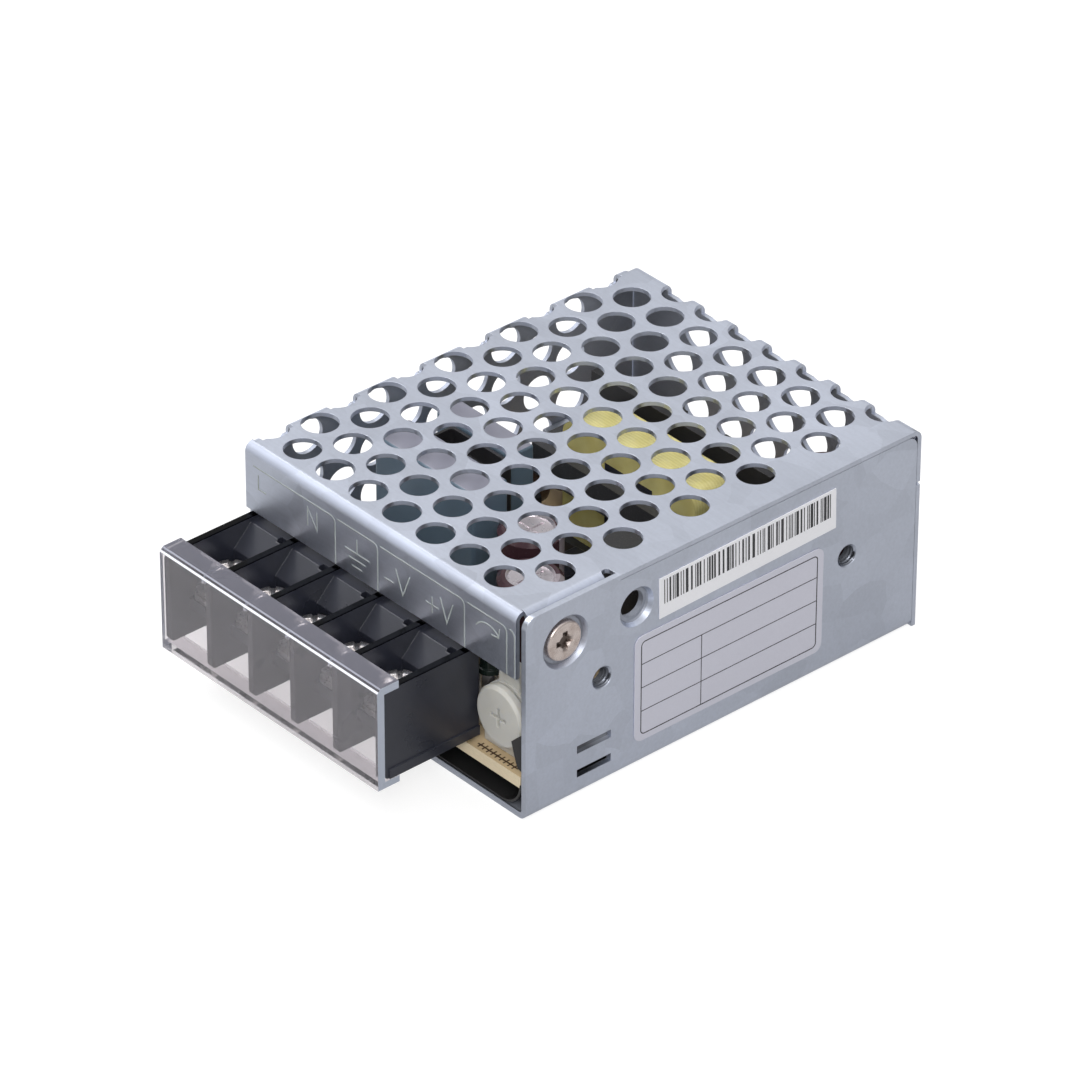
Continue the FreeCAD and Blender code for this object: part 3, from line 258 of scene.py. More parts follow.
@dataclass(frozen=True)
class SheetSteel:
    """Galvanised sheet: bluish zinc with spangle and rolling lines, rougher at bends, less metallic inside;
    painted shade inside the case, in the tapped holes and in the slots.
    """

    name: str = "galvanised_sheet"
    tint: Color = (0.56, 0.595, 0.685)
    roughness: float = 0.42
    warp: float = 0.004
    warp_scale: float = 90.0
    spangle: float = 0.05
    spangle_scale: float = 210.0
    cloud: float = 0.045
    cloud_scale: float = 55.0
    grain: float = 0.025
    grain_scale: float = 2600.0
    line_scale: float = 2400.0
    line: Row = (0.06, 1.0, 1.0)
    edge: float = 0.00012
    relief: float = 0.0000016
    inner_low: Row = (-24.95, -31.0, 0.6)
    inner_high: Row = (24.85, 30.75, 27.45)
    # painted shade: share of the brightness kept on the faces inside the case
    inner_shade_share: float = 0.62
    inner_metal: float = 0.50
    bore: Row = (19.5, 15.0, 1.27)
    bore_start: float = 20.0
    slot_low: Row = (23.0, -23.45, 1.0)
    slot_high: Row = (25.42, -17.95, 8.0)
    slot_fade: Row = (-21.4, -18.4)
    # painted shade: share of the brightness kept in the tapped holes and the slots
    hollow_shade_share: float = 0.36
    bend_reach: float = 24.6
    bend_facing: Row = (0.995, 0.96)
    bend_matte: float = 0.30

    def build(self) -> Material:
        """Make the material: cells shift the brightness, stretched noise draws the lines, boxes paint shade
        inside the case, in the tapped holes and in the slots.

        Returns:
            The finished material.
        """
        g = Graph(self.name)
        wander = g.node("ShaderNodeTexNoise", {"Vector": g.place, "Scale": self.warp_scale}).outputs[1]
        inputs = {"Vector": g.mix(self.warp, g.place, wander, "ADD"), "Scale": self.spangle_scale}
        cells = g.node("ShaderNodeTexVoronoi", inputs, feature="F1").outputs["Color"]
        grey = g.node("ShaderNodeSeparateColor", {0: cells}).outputs[0]
        cloud = g.noise(self.cloud_scale, 4.0)
        grain = g.noise(self.grain_scale)
        lines = g.noise(self.line_scale, 2.0, g.stretched(self.line))
        # painted shade on every face inside the case
        inner = self.box_mask(g, self.inner_low, self.inner_high)
        # painted shade in the tapped holes and in the slots, fading out along Y
        slots = self.box_mask(g, self.slot_low, self.slot_high)
        fade = g.span(g.axes()[1], *(value * MM for value in self.slot_fade), 1.0, 0.0)
        hollow = g.most(self.bore_mask(g), g.times(slots, fade))
        light = g.times(
            g.span(grey, 0.0, 1.0, 1.0 - self.spangle, 1.0 + self.spangle),
            g.sway(cloud, 1.0 - self.cloud, 1.0 + self.cloud),
            g.sway(grain, 1.0 - self.grain, 1.0 + self.grain),
            g.sway(lines, 1.0 - self.grain, 1.0 + self.grain),
            g.fall(inner, self.inner_shade_share),
            g.fall(hollow, self.hollow_shade_share),
        )
        shade = g.node("ShaderNodeCombineColor", {0: light, 1: light, 2: light}).outputs[0]
        rough = g.plus(
            g.sway(grain, -0.035, 0.035),
            g.sway(cloud, -0.04, 0.04),
            self.roughness,
            g.times(self.bend_mask(g), self.bend_matte),
        )
        height = g.plus(g.times(grain, 0.5), g.times(lines, 0.35))
        color = g.mix(1.0, self.tint, shade, "MULTIPLY")
        normal = g.bump(height, self.relief, g.bevel(self.edge))
        return g.surface(color, rough, normal, {"Metallic": g.fall(inner, self.inner_metal)})

    def bore_mask(self, g: Graph) -> Socket:
        """One in the two tapped side holes, where shade is painted.

        Args:
            g: Graph of the material.

        Returns:
            The mask.
        """
        x, y, z = g.axes()
        along, height, radius = (value * MM for value in self.bore)
        beside = g.minus(g.size(y), along)
        near = g.under(g.length(beside, g.minus(z, height)), radius)
        return g.times(near, g.over(x, self.bore_start * MM))

    def bend_mask(self, g: Graph) -> Socket:
        """One where the cover turns from one flat side to the next, which the press has rubbed dull.

        Args:
            g: Graph of the material.

        Returns:
            The mask.
        """
        squareness = g.most(*(g.size(part) for part in g.facing()))
        cover = g.under(g.axes()[0], self.bend_reach * MM)
        return g.times(cover, g.span(squareness, *self.bend_facing, 0.0, 1.0))

    def box_mask(self, g: Graph, low: Row, high: Row) -> Socket:
        """One inside a box, such as the space between the case's inner faces, and nought outside.

        Args:
            g: Graph of the material.
            low: The box's lowest corner.
            high: Its highest corner.

        Returns:
            The mask.
        """
        tests = []
        for part, start, end in zip(g.axes(), low, high):
            tests += [g.over(part, start * MM), g.under(part, end * MM)]
        return g.times(*tests)


@dataclass(frozen=True)
class PlatedMetal:
    """Nickel, tin or bare metal with fine marks and tarnish, a rolled thread below a height and painted
    shade in a head's recess.
    """

    name: str
    tint: Color
    dark: Color
    thread_top: float = 0.0
    recess: Triple | None = None
    roughness: float = 0.30
    pitch: float = 0.5
    thread_depth: float = 0.00022
    recess_radius: float = 1.75
    recess_depth: Row = (0.03, 0.32)
    # painted shade: share of the dark tint in a head's recess
    recess_shade_share: float = 0.30

    def build(self) -> Material:
        """Make the material: noise mixes the bright and the dull tint, a wave in Z is the thread.

        Returns:
            The finished material.
        """
        g = Graph(self.name)
        fine = g.noise(5200.0)
        color = g.mix(g.span(g.noise(900.0, 4.0), 0.42, 0.72, 0.0, 0.55), self.tint, self.dark)
        if self.recess:
            # painted shade: the recess darkens towards its floor
            color = g.mix(self.recess_mask(g), color, scaled(self.dark, self.recess_shade_share))
        rough = g.plus(g.sway(fine, -0.06, 0.08), self.roughness)
        normal = g.bump(fine, 0.0000025, g.bevel(0.00015))
        if self.thread_top:
            z = g.axes()[2]
            wave = g.calc("PINGPONG", z, self.pitch / 2 * MM)
            below = g.under(z, self.thread_top * MM)
            height = g.times(wave, below, 2.0 / (self.pitch * MM))
            normal = g.bump(height, self.thread_depth, normal)
        return g.surface(color, rough, normal, {"Metallic": 1.0})

    def recess_mask(self, g: Graph) -> Socket:
        """Grows from nought to one between the face of a head that looks along X and its recess floor,
        where shade is painted.

        Args:
            g: Graph of the material.

        Returns:
            The mask.
        """
        parts = g.axes()
        x, y, z = (value * MM for value in self.recess)
        away = g.length(g.minus(parts[1], y), g.minus(parts[2], z))
        near = g.under(away, self.recess_radius * MM)
        face, floor = (x - depth * MM for depth in self.recess_depth)
        return g.times(near, g.span(parts[0], face, floor, 0.0, 1.0))


@dataclass(frozen=True)
class MouldedPlastic:
    """Moulded plastic with a fine spark-eroded grain and slightly worn colour.

    Above the height `crown`, where there is one, it is darker, glossier and metallic; the darker colour is
    painted shade that keeps the tops of the barriers dark.
    """

    name: str
    tint: Color
    roughness: float
    grain: float
    variation: float = 0.12
    glow: float = 0.0
    crown: float = 0.0
    # painted shade: share of the tint kept on the barrier tops
    crown_shade_share: float = 0.15
    crown_gloss: float = 0.16

    def build(self) -> Material:
        """Make the material: grain bends the normal, cloudy noise shifts tint and gloss.

        Returns:
            The finished material.
        """
        g = Graph(self.name)
        cloud = g.noise(160.0, 4.0)
        low, high = (scaled(self.tint, 1.0 + side * self.variation) for side in (-1.0, 1.0))
        color = g.mix(g.sway(cloud, 0.0, 1.0), low, high)
        rough = g.plus(g.sway(cloud, -0.05, 0.05), self.roughness)
        normal = g.bump(g.noise(4200.0), self.grain, g.bevel(0.00018))
        more: dict[str, Any] = {}
        if self.crown:
            above = g.over(g.axes()[2], self.crown * MM)
            # painted shade on the tops of the barriers
            color = g.mix(above, color, scaled(self.tint, self.crown_shade_share))
            rough = g.minus(rough, g.times(above, self.crown_gloss))
            more["Metallic"] = above
        if self.glow:
            more["Subsurface Weight"] = self.glow
            more["Subsurface Scale"] = 0.0012
            more["Subsurface Radius"] = (1.0, 0.9, 0.7)
        return g.surface(color, rough, normal, more)


@dataclass(frozen=True)
class ClearPlastic:
    """Smoky transparent moulding: clear walls, hazy top and end faces, painted highlights on the bevel and
    rear rim, painted shade on the top and slope, pale painted light on the ends.
    """

    name: str = "clear_plastic"
    tint: Color = (0.80, 0.765, 0.785)
    roughness: float = 0.04
    milk_roughness: float = 0.25
    ior: float = 1.49
    haze: float = 0.08
    haze_tint: Color = (0.44, 0.43, 0.50)
    top_haze: float = 0.76
    # the tints below are painted light and shade, picked by the facing of each surface
    top_shade_tint: Color = (0.118, 0.118, 0.150)
    end_haze: float = 0.70
    end_light_tint: Color = (0.62, 0.68, 0.80)
    bevel_haze: float = 0.90
    bevel_highlight_tint: Color = (0.86, 0.88, 0.95)
    slope_shade_tint: Color = (0.36, 0.37, 0.44)
    strip_low: float = 18.8
    bevel_middle: float = 19.1
    bevel_half: float = 0.10
    squarely: float = 0.9
    slantwise: float = 0.25
    rearwards: float = 0.6

    def build(self) -> Material:
        """Make the material: the facing of the surface sets how hazy and how pale each part is, which
        paints light and shade by facing.

        Returns:
            The finished material.
        """
        g = Graph(self.name)
        right, rear, up = g.facing()
        height = g.axes()[2]
        flow = g.noise(260.0, 3.0, g.stretched((0.3, 1.0, 1.0)))
        specks = g.span(g.noise(2600.0, 2.0), 0.72, 0.78, 0.0, 0.25)
        above = g.over(height, self.strip_low * MM)
        top = g.times(above, g.over(up, self.squarely))
        end = g.over(right, self.squarely)
        rising = g.over(up, self.slantwise)
        slant = g.times(rising, g.under(rear, -self.slantwise))
        off_middle = g.size(g.minus(height, self.bevel_middle * MM))
        front_rim = g.times(slant, g.over(off_middle, self.bevel_half * MM))
        rear_rim = g.times(above, g.over(rear, self.rearwards))
        rim = g.most(front_rim, rear_rim)
        slope = g.times(slant, g.over(height, self.bevel_middle * MM))
        # painted light by facing: pale end faces, painted highlights on the rims, painted shade on the top
        # and the slope
        tint = g.mix(end, g.mix(top, self.haze_tint, self.top_shade_tint), self.end_light_tint)
        tint = g.mix(rim, tint, g.mix(slope, self.bevel_highlight_tint, self.slope_shade_tint))
        haze = g.plus(g.sway(flow, -0.03, 0.03), self.haze, specks)
        for mask, share in ((top, self.top_haze), (end, self.end_haze), (rim, self.bevel_haze)):
            haze = g.most(haze, g.times(mask, share))
        clear = {
            "Base Color": self.tint,
            "Roughness": self.roughness,
            "IOR": self.ior,
            "Transmission Weight": 1.0,
            "Normal": g.bump(flow, 0.00001),
        }
        milk = {"Base Color": tint, "Roughness": self.milk_roughness}
        pair = [g.node("ShaderNodeBsdfPrincipled", inputs).outputs[0] for inputs in (clear, milk)]
        return g.close(g.node("ShaderNodeMixShader", {0: haze, 1: pair[0], 2: pair[1]}))


@dataclass(frozen=True)
class Laminate:
    """Paper-based board: cream sawn edge, tan component side and a darker coated underside."""

    name: str = "board_laminate"
    edge: Color = (0.92, 0.78, 0.55)
    top: Color = (0.62, 0.47, 0.28)
    under: Color = (0.05, 0.16, 0.07)

    def build(self) -> Material:
        """Make the material: the facing of the surface picks one of the three colours.

        Returns:
            The finished material.
        """
        g = Graph(self.name)
        upward = g.facing()[2]
        fibre = g.noise(1500.0, 4.0, g.stretched((1.0, 1.0, 6.0)))
        color = g.mix(g.span(fibre, 0.35, 0.7, 0.0, 0.35), self.edge, scaled(self.edge, 0.7))
        color = g.mix(g.span(upward, 0.5, 0.6, 0.0, 1.0), color, self.top)
        color = g.mix(g.span(upward, -0.5, -0.6, 0.0, 1.0), color, self.under)
        return g.surface(color, 0.5, g.bump(fibre, 0.00002))


@dataclass(frozen=True)
class CanSleeve:
    """Capacitor can: glossy sleeve with a pale stripe and a bare metal top."""

    name: str
    centre: Pair
    radius: float
    top: float
    tint: Color = (0.085, 0.040, 0.050)
    stripe: Color = (0.50, 0.44, 0.48)
    metal: Color = (0.86, 0.80, 0.83)
    rim: float = 1.05
    shoulder: float = 0.8
    stripe_angle: float = 0.6
    stripe_half: float = 0.32

    def build(self) -> Material:
        """Make the material: height and distance from the axis pick metal, angle picks the stripe.

        Returns:
            The finished material.
        """
        g = Graph(self.name)
        middle = (-self.centre[0] * MM, -self.centre[1] * MM, 0.0)
        x, y, z = g.axes(g.node("ShaderNodeMapping", {"Vector": g.place, "Location": middle}).outputs[0])
        inside = g.under(g.length(x, y), (self.radius - self.rim) * MM)
        high = g.over(z, (self.top - self.shoulder) * MM)
        bare = g.times(inside, high)
        turned = g.size(g.minus(g.calc("ARCTAN2", y, x), self.stripe_angle))
        sleeve = g.mix(g.under(turned, self.stripe_half), self.tint, self.stripe)
        fine = g.noise(3000.0)
        rough = g.plus(g.times(bare, 0.08), g.sway(fine, 0.18, 0.28))
        color = g.mix(bare, sleeve, self.metal)
        return g.surface(color, rough, g.bump(fine, 0.000004), {"Metallic": bare})


@dataclass(frozen=True)
class PottedBox:
    """Boxed capacitor: grey-blue moulded case whose flat top is paler."""

    name: str
    top: float
    tint: Color = (0.18, 0.255, 0.335)
    pale_top: Color = (0.39, 0.39, 0.47)

    def build(self) -> Material:
        """Make the material: the height picks the paler top colour, cloudy noise shades both.

        Returns:
            The finished material.
        """
        g = Graph(self.name)
        crown = g.over(g.axes()[2], (self.top - 0.05) * MM)
        cloud = g.noise(210.0, 4.0)
        fine = g.noise(3800.0)
        tint = g.mix(g.sway(cloud, 0.0, 1.0), scaled(self.tint, 0.92), self.tint)
        pale_top = g.mix(g.span(cloud, 0.35, 0.65, 0.0, 1.0), scaled(self.pale_top, 0.86), self.pale_top)
        return g.surface(g.mix(crown, tint, pale_top), g.sway(fine, 0.30, 0.42), g.bump(fine, 0.000004))


@dataclass(frozen=True)
class WoundTape:
    """Yellow polyester tape in laps over a winding, with a soft view of the turns below."""

    name: str = "yellow_tape"
    tint: Color = (0.93, 0.85, 0.36)
    deep: Color = (0.70, 0.58, 0.17)
    lap: float = 700.0

    def build(self) -> Material:
        """Make the material: waves along the winding axis draw the turns and the laps.

        Returns:
            The finished material.
        """
        g = Graph(self.name)
        inputs = {"Vector": g.place, "Scale": self.lap, "Distortion": 1.2, "Detail": 1.0}
        waves = g.node("ShaderNodeTexWave", inputs, wave_type="BANDS", bands_direction="Y").outputs[1]
        cloud = g.noise(240.0, 4.0)
        share = g.plus(g.span(waves, 0.2, 0.9, 0.0, 0.22), g.span(cloud, 0.4, 0.7, 0.0, 0.45))
        color = g.mix(share, self.tint, self.deep)
        return g.surface(color, 0.24, g.bump(waves, 0.00003), {"Coat Weight": 0.4})


@dataclass(frozen=True)
class Ferrite:
    """Sintered ferrite: near-black with a fine pale speckle."""

    name: str = "ferrite"
    tint: Color = (0.050, 0.050, 0.054)
    pale: Color = (0.16, 0.16, 0.17)

    def build(self) -> Material:
        """Make the material: thresholded noise sets the speckle.

        Returns:
            The finished material.
        """
        g = Graph(self.name)
        speck = g.noise(5200.0, 2.0)
        color = g.mix(g.span(speck, 0.60, 0.72, 0.0, 0.5), self.tint, self.pale)
        return g.surface(color, g.sway(speck, 0.42, 0.6), g.bump(speck, 0.000012))


@dataclass(frozen=True)
class PaperFilm:
    """Sticker film with a faint fibre and a soft coat."""

    name: str
    tint: Color
    roughness: float = 0.42

    def build(self) -> Material:
        """Make the material: fine noise shades the film.

        Returns:
            The finished material.
        """
        g = Graph(self.name)
        fibre = g.noise(3600.0, 4.0)
        color = g.mix(g.sway(fibre, 0.0, 0.5), self.tint, scaled(self.tint, 0.94))
        cloud = g.span(g.noise(120.0, 2.0), 0.35, 0.65, 0.0, 0.4)
        color = g.mix(cloud, color, scaled(self.tint, 0.95))
        return g.surface(color, self.roughness, g.bump(fibre, 0.000004))


BLACK_RESIN = (0.023, 0.025, 0.036)
SCREW_HEAD = ((0.90, 0.87, 0.86), (0.52, 0.46, 0.43))


class Finish(Enum):
    """Every finish on the supply, by the record's material slot where it has one."""

    SHEET = SheetSteel()
    SCREW = PlatedMetal("nickel_screw", (0.70, 0.61, 0.57), (0.42, 0.33, 0.29), recess=(25.4, -25.15, 22.5))
    TERMINAL = PlatedMetal("terminal_screw", *SCREW_HEAD, thread_top=13.05)
    CROWN = PlatedMetal("screw_crown", *SCREW_HEAD)
    TINNED = PlatedMetal("tinned_steel", (0.66, 0.65, 0.64), (0.38, 0.36, 0.34))
    BLACK = MouldedPlastic("black_plastic", BLACK_RESIN, 0.31, 0.000004)
    # the crown height carries painted shade on the barrier tops
    BLOCK = MouldedPlastic("block_plastic", BLACK_RESIN, 0.31, 0.000004, crown=18.45)
    CREAM = MouldedPlastic("cream_plastic", (0.62, 0.61, 0.57), 0.40, 0.000004, 0.05, 0.45)
    LINER = MouldedPlastic("liner_film", (0.020, 0.019, 0.020), 0.34, 0.000002)
    X2 = PottedBox("x2_box", 24.2)
    FILM = PottedBox("film_box", 22.6)
    CHOKE = MouldedPlastic("choke_wrap", (0.030, 0.029, 0.032), 0.38, 0.000010)
    ANODISED = MouldedPlastic("black_anodised", (0.030, 0.029, 0.031), 0.36, 0.000003)
    DISC = MouldedPlastic("disc_coating", (0.10, 0.062, 0.045), 0.26, 0.000010, 0.08)
    CLEAR = ClearPlastic()
    BOARD = Laminate()
    TAPE = WoundTape()
    FERRITE = Ferrite()
    RATING = PaperFilm("rating_film", (0.67, 0.67, 0.76))
    BARCODE = PaperFilm("barcode_film", (0.96, 0.96, 1.0))
    INK = MouldedPlastic("black_ink", (0.030, 0.030, 0.035), 0.55, 0.000001)
    PALE_INK = MouldedPlastic("pale_ink", (0.46, 0.50, 0.49), 0.5, 0.000001)
    LENS = MouldedPlastic("green_lens", (0.013, 0.022, 0.018), 0.20, 0.000001)
    RESISTOR = MouldedPlastic("resistor_body", (0.055, 0.050, 0.048), 0.42, 0.000006)
    BOARD_INK = MouldedPlastic("brown_ink", (0.075, 0.040, 0.020), 0.5, 0.000001)

    def material(self) -> Material:
        """The finish's material, made when it is first asked for.

        Returns:
            The finished material.
        """
        found = bpy.data.materials.get(f"finish_{self.value.name}")
        if found is None:
            found = self.value.build()
            found.name = f"finish_{self.value.name}"
        return found


# Surfaces


@dataclass(frozen=True)
class Patch:
    """Points and quads of one surface, in millimetres."""

    points: Array
    faces: Array


def grid_faces(rows: int, columns: int, wrap_rows: bool = False) -> Array:
    """Quads of a grid, closed across, whose point in row i and column j has number i * columns + j.

    Args:
        rows: Points down the grid.
        columns: Points across it.
        wrap_rows: The last row joins the first.

    Returns:
        Four point numbers for each quad.
    """
    i, j = np.meshgrid(np.arange(rows if wrap_rows else rows - 1), np.arange(columns), indexing="ij")
    below, beside = (i + 1) % rows, (j + 1) % columns
    quads = [i * columns + j, below * columns + j, below * columns + beside, i * columns + beside]
    return np.stack(quads, axis=-1).reshape(-1, 4)


@dataclass(frozen=True)
class Plane:
    """Flat working plane: a corner, two directions in it and its outward normal."""

    corner: Triple
    across: Triple
    up: Triple
    out: Triple

    def place(self, flat: Array, height: Any) -> Array:
        """Point = corner + first value times across + second times up + height times out.

        Args:
            flat: Two values for each point.
            height: Height of each point, or one for all.

        Returns:
            The points.
        """
        flat = np.asarray(flat, float)
        height = np.broadcast_to(np.asarray(height, float), flat.shape[:-1])[..., None]
        return (
            np.array(self.corner)
            + flat[..., :1] * np.array(self.across)
            + flat[..., 1:] * np.array(self.up)
            + height * np.array(self.out)
        )


def stroke(
    plane: Plane, path: Array, width: float, low: float, high: float, closed: bool = False
) -> Patch:
    """Printed line: a flat bar carried along a path, mitred at its corners.

    Each point moves sideways by half the width along the mean of the two neighbouring
    normals, divided by the cosine of half the turn, so the line keeps its width.

    Args:
        plane: Plane that the path lies in.
        path: Points of the path, two values each.
        width: Width of the line.
        low: Height of its underside over the plane.
        high: Height of its face.
        closed: The path returns to its start.

    Returns:
        The line as a closed bar.
    """
    path = np.asarray(path, float)
    after = np.roll(path, -1, axis=0) - path
    before = path - np.roll(path, 1, axis=0)
    if not closed:
        after[-1], before[0] = before[-1], after[0]
    after /= np.linalg.norm(after, axis=1, keepdims=True)
    before /= np.linalg.norm(before, axis=1, keepdims=True)
    mean = after + before
    mean /= np.maximum(np.linalg.norm(mean, axis=1, keepdims=True), 1e-9)
    side = np.stack([-mean[:, 1], mean[:, 0]], axis=1)
    side *= (width / 2) / np.maximum((mean * after).sum(axis=1, keepdims=True), 0.35)
    section = [
        plane.place(path + side, low),
        plane.place(path + side, high),
        plane.place(path - side, high),
        plane.place(path - side, low),
    ]
    points = np.stack(section, axis=1).reshape(-1, 3)
    faces = grid_faces(len(path), 4, closed)
    if not closed:
        last = 4 * (len(path) - 1)
        faces = np.vstack([faces, [[0, 1, 2, 3]], [[last + 3, last + 2, last + 1, last]]])
    return Patch(points, faces)


def slabs(
    plane: Plane, left: Array, right: Array, bottom: float, top: float, low: float, high: float
) -> Patch:
    """Row of flat bars: bar k fills left[k] to right[k] across and bottom to top upwards.

    Args:
        plane: Plane that the bars lie on.
        left: Where each bar starts.
        right: Where each bar ends.
        bottom: Lower edge of all bars.
        top: Upper edge of all bars.
        low: Height of their undersides over the plane.
        high: Height of their faces.

    Returns:
        All bars as closed boxes.
    """
    base, crown = np.full_like(left, bottom), np.full_like(left, top)
    corners = ((left, base), (right, base), (right, crown), (left, crown))
    ring = np.stack([np.stack(corner, 1) for corner in corners], axis=1)
    points = np.concatenate([plane.place(ring, low), plane.place(ring, high)], axis=1).reshape(-1, 3)
    box = np.array([[0, 3, 2, 1], [4, 5, 6, 7], [0, 1, 5, 4], [1, 2, 6, 5], [2, 3, 7, 6], [3, 0, 4, 7]])
    faces = (np.arange(len(left))[:, None, None] * 8 + box[None]).reshape(-1, 4)
    return Patch(points, faces)


def rounded_outline(x0: float, y0: float, x1: float, y1: float, radius: float, steps: int = 6) -> Array:
    """Rectangle with quarter-circle corners, as points round it from the lower right corner.

    Args:
        x0: Its left side.
        y0: Its foot.
        x1: Its right side.
        y1: Its top.
        radius: Radius of the corners.
        steps: Pieces of each quarter circle.

    Returns:
        The points, two values each.
    """
    turn = np.linspace(0, math.pi / 2, steps + 1)
    left, right, foot, top = x0 + radius, x1 - radius, y0 + radius, y1 - radius
    rounds = []
    for k, (cx, cy) in enumerate([(right, foot), (right, top), (left, top), (left, foot)]):
        angle = turn + (k - 1) * math.pi / 2
        rounds.append(np.stack([cx + radius * np.cos(angle), cy + radius * np.sin(angle)], axis=1))
    return np.concatenate(rounds)


def tube(path: Array, radius: float, sides: int = 10) -> Patch:
    """Round wire: a ring of the radius carried along a path, square to it, with closed ends.

    Args:
        path: Points of the path.
        radius: Radius of the wire.
        sides: Points round the ring.

    Returns:
        The wire.
    """
    path = np.asarray(path, float)
    ahead = np.gradient(path, axis=0)
    ahead /= np.linalg.norm(ahead, axis=1, keepdims=True)
    guide = np.where(np.abs(ahead[:, 2:]) > 0.9, np.array([[1.0, 0, 0]]), np.array([[0, 0, 1.0]]))
    side = np.cross(ahead, guide)
    side /= np.linalg.norm(side, axis=1, keepdims=True)
    lift = np.cross(side, ahead)
    angle = np.linspace(0, 2 * math.pi, sides, endpoint=False)
    ring = side[:, None] * np.cos(angle)[None, :, None] + lift[:, None] * np.sin(angle)[None, :, None]
    points = (path[:, None] + radius * ring).reshape(-1, 3)
    points = np.vstack([points, path[:1], path[-1:]])
    count = len(path) * sides
    faces = grid_faces(len(path), sides)
    k = np.arange(sides)
    after, last = (k + 1) % sides, count - sides
    near = np.stack([np.full(sides, count), k, after, after], axis=1)
    far = np.stack([np.full(sides, count + 1), last + after, last + k, last + k], axis=1)
    return Patch(points, np.vstack([faces[:, ::-1], near, far]))


THREAD_STEPS = 28
THREAD_FADE = 1.2
THREAD_FOOT = 0.45
THREAD_SUNK = 0.02


def thread(
    centre: Row, axis: str, radius: float, depth: float, pitch: float, turns: float, inward: bool
) -> Patch:
    """Screw thread: a triangular ridge carried along a helix.

    At angle t the ridge's axis height is pitch times t over a full turn. Its crest lies depth
    away from the wall radius; its two feet, THREAD_FOOT of a pitch to each side of the crest,
    lie just inside the wall. Over the first and last THREAD_FADE radians it fades out.

    Args:
        centre: Start of the helix on its axis.
        axis: X or Z, the direction that the helix climbs in.
        radius: Radius of the wall that carries the ridge.
        depth: Height of the ridge.
        pitch: Climb of one turn.
        turns: Number of turns.
        inward: The ridge points to the axis, as in a nut.

    Returns:
        The ridge as a closed bar.
    """
    angle = np.linspace(0, 2 * math.pi * turns, int(THREAD_STEPS * turns))
    sign = -1.0 if inward else 1.0
    fade = np.clip(np.minimum(angle, angle[-1] - angle) / THREAD_FADE, 0.02, 1.0)
    foot = np.full_like(angle, -THREAD_SUNK * sign)
    reach = np.stack([foot, depth * fade * sign, foot], 1) + radius
    climb = pitch * angle[:, None] / (2 * math.pi) + np.array([[-THREAD_FOOT, 0.0, THREAD_FOOT]]) * pitch
    a, b = reach * np.cos(angle)[:, None], reach * np.sin(angle)[:, None]
    points = np.stack([climb, a, b] if axis == "X" else [a, b, climb], axis=-1).reshape(-1, 3)
    faces = grid_faces(len(angle), 3)
    last = 3 * (len(angle) - 1)
    ends = np.array([[0, 1, 2, 2], [last + 2, last + 1, last, last]])
    return Patch(points + np.array(centre), np.vstack([faces, ends]))


def lathe(base: Row, axis: str, profile: Sequence[Row], sides: int = 40) -> Patch:
    """Turned surface: point = base + distance along the axis + radius times cosine and sine of the angle.

    Args:
        base: Start of the axis.
        axis: X or Z.
        profile: Radius and distance along the axis of each ring.
        sides: Points round each ring.

    Returns:
        The turned surface.
    """
    rings = np.asarray(profile, float)
    angle = np.linspace(0, 2 * math.pi, sides, endpoint=False)
    along = np.repeat(rings[:, 1:], sides, axis=1)
    a, b = rings[:, :1] * np.cos(angle), rings[:, :1] * np.sin(angle)
    points = np.stack([along, a, b] if axis == "X" else [a, b, along], axis=-1).reshape(-1, 3)
    return Patch(points + np.array(base), grid_faces(len(rings), sides)[:, ::-1])


CROWN_RINGS = 26
CROWN_SIDES = 168
SLOT_HALF = 0.38
SLOT_SLOPE = 0.12
SLOT_DEPTH = 0.55


def slotted_crown(
    centre: Row, radius: float, foot: float, edge: float, rise: float, turn: float
) -> Patch:
    """Domed screw head with a cross slot.

    With s = distance from the axis over the radius, height = edge + rise times root(1 - s squared),
    less SLOT_DEPTH times (1 - s to the fourth) where the nearer slot's middle lies within SLOT_HALF.

    Args:
        centre: Axis of the screw, X and Y.
        radius: Radius of the head.
        foot: Height where its side starts.
        edge: Height where the side meets the dome.
        rise: Height of the dome over the edge.
        turn: Angle of one slot.

    Returns:
        The head's surface.
    """
    away = np.concatenate([[1.0], np.sin(np.linspace(math.pi / 2, 0.0, CROWN_RINGS))])[:, None] * radius
    angle = np.linspace(0, 2 * math.pi, CROWN_SIDES, endpoint=False)[None]
    share = away / radius
    near = np.minimum(np.abs(away * np.sin(angle - turn)), np.abs(away * np.cos(angle - turn)))
    slot = np.clip((SLOT_HALF - near) / SLOT_SLOPE, 0.0, 1.0)
    dome = edge + rise * np.sqrt(np.clip(1.0 - share**2, 0.0, 1.0))
    high = dome - SLOT_DEPTH * (1.0 - share**4) * slot
    high[0] = foot
    points = np.stack([centre[0] + away * np.cos(angle), centre[1] + away * np.sin(angle), high], axis=-1)
    return Patch(points.reshape(-1, 3), grid_faces(len(away), angle.size)[:, ::-1])


class Side(Enum):
    """Working planes on the case, each with millimetres of the frame as its coordinates."""

    FRONT = Plane((0.0, -31.25, 0.0), (1.0, 0.0, 0.0), (0.0, 0.0, 1.0), (0.0, -1.0, 0.0))
    RIGHT = Plane((25.5, 0.0, 0.0), (0.0, 1.0, 0.0), (0.0, 0.0, 1.0), (1.0, 0.0, 0.0))
    BOARD = Plane((0.0, 0.0, 5.3), (1.0, 0.0, 0.0), (0.0, 1.0, 0.0), (0.0, 0.0, 1.0))


def link(name: str, data: Any) -> bpy.types.Object:
    """Put a new object with its data into the scene.

    Args:
        name: Name of the object.
        data: Its mesh, camera or light.

    Returns:
        The new object.
    """
    thing = bpy.data.objects.new(name, data)
    bpy.context.scene.collection.objects.link(thing)
    return thing


SMOOTH_ANGLE = math.radians(35)


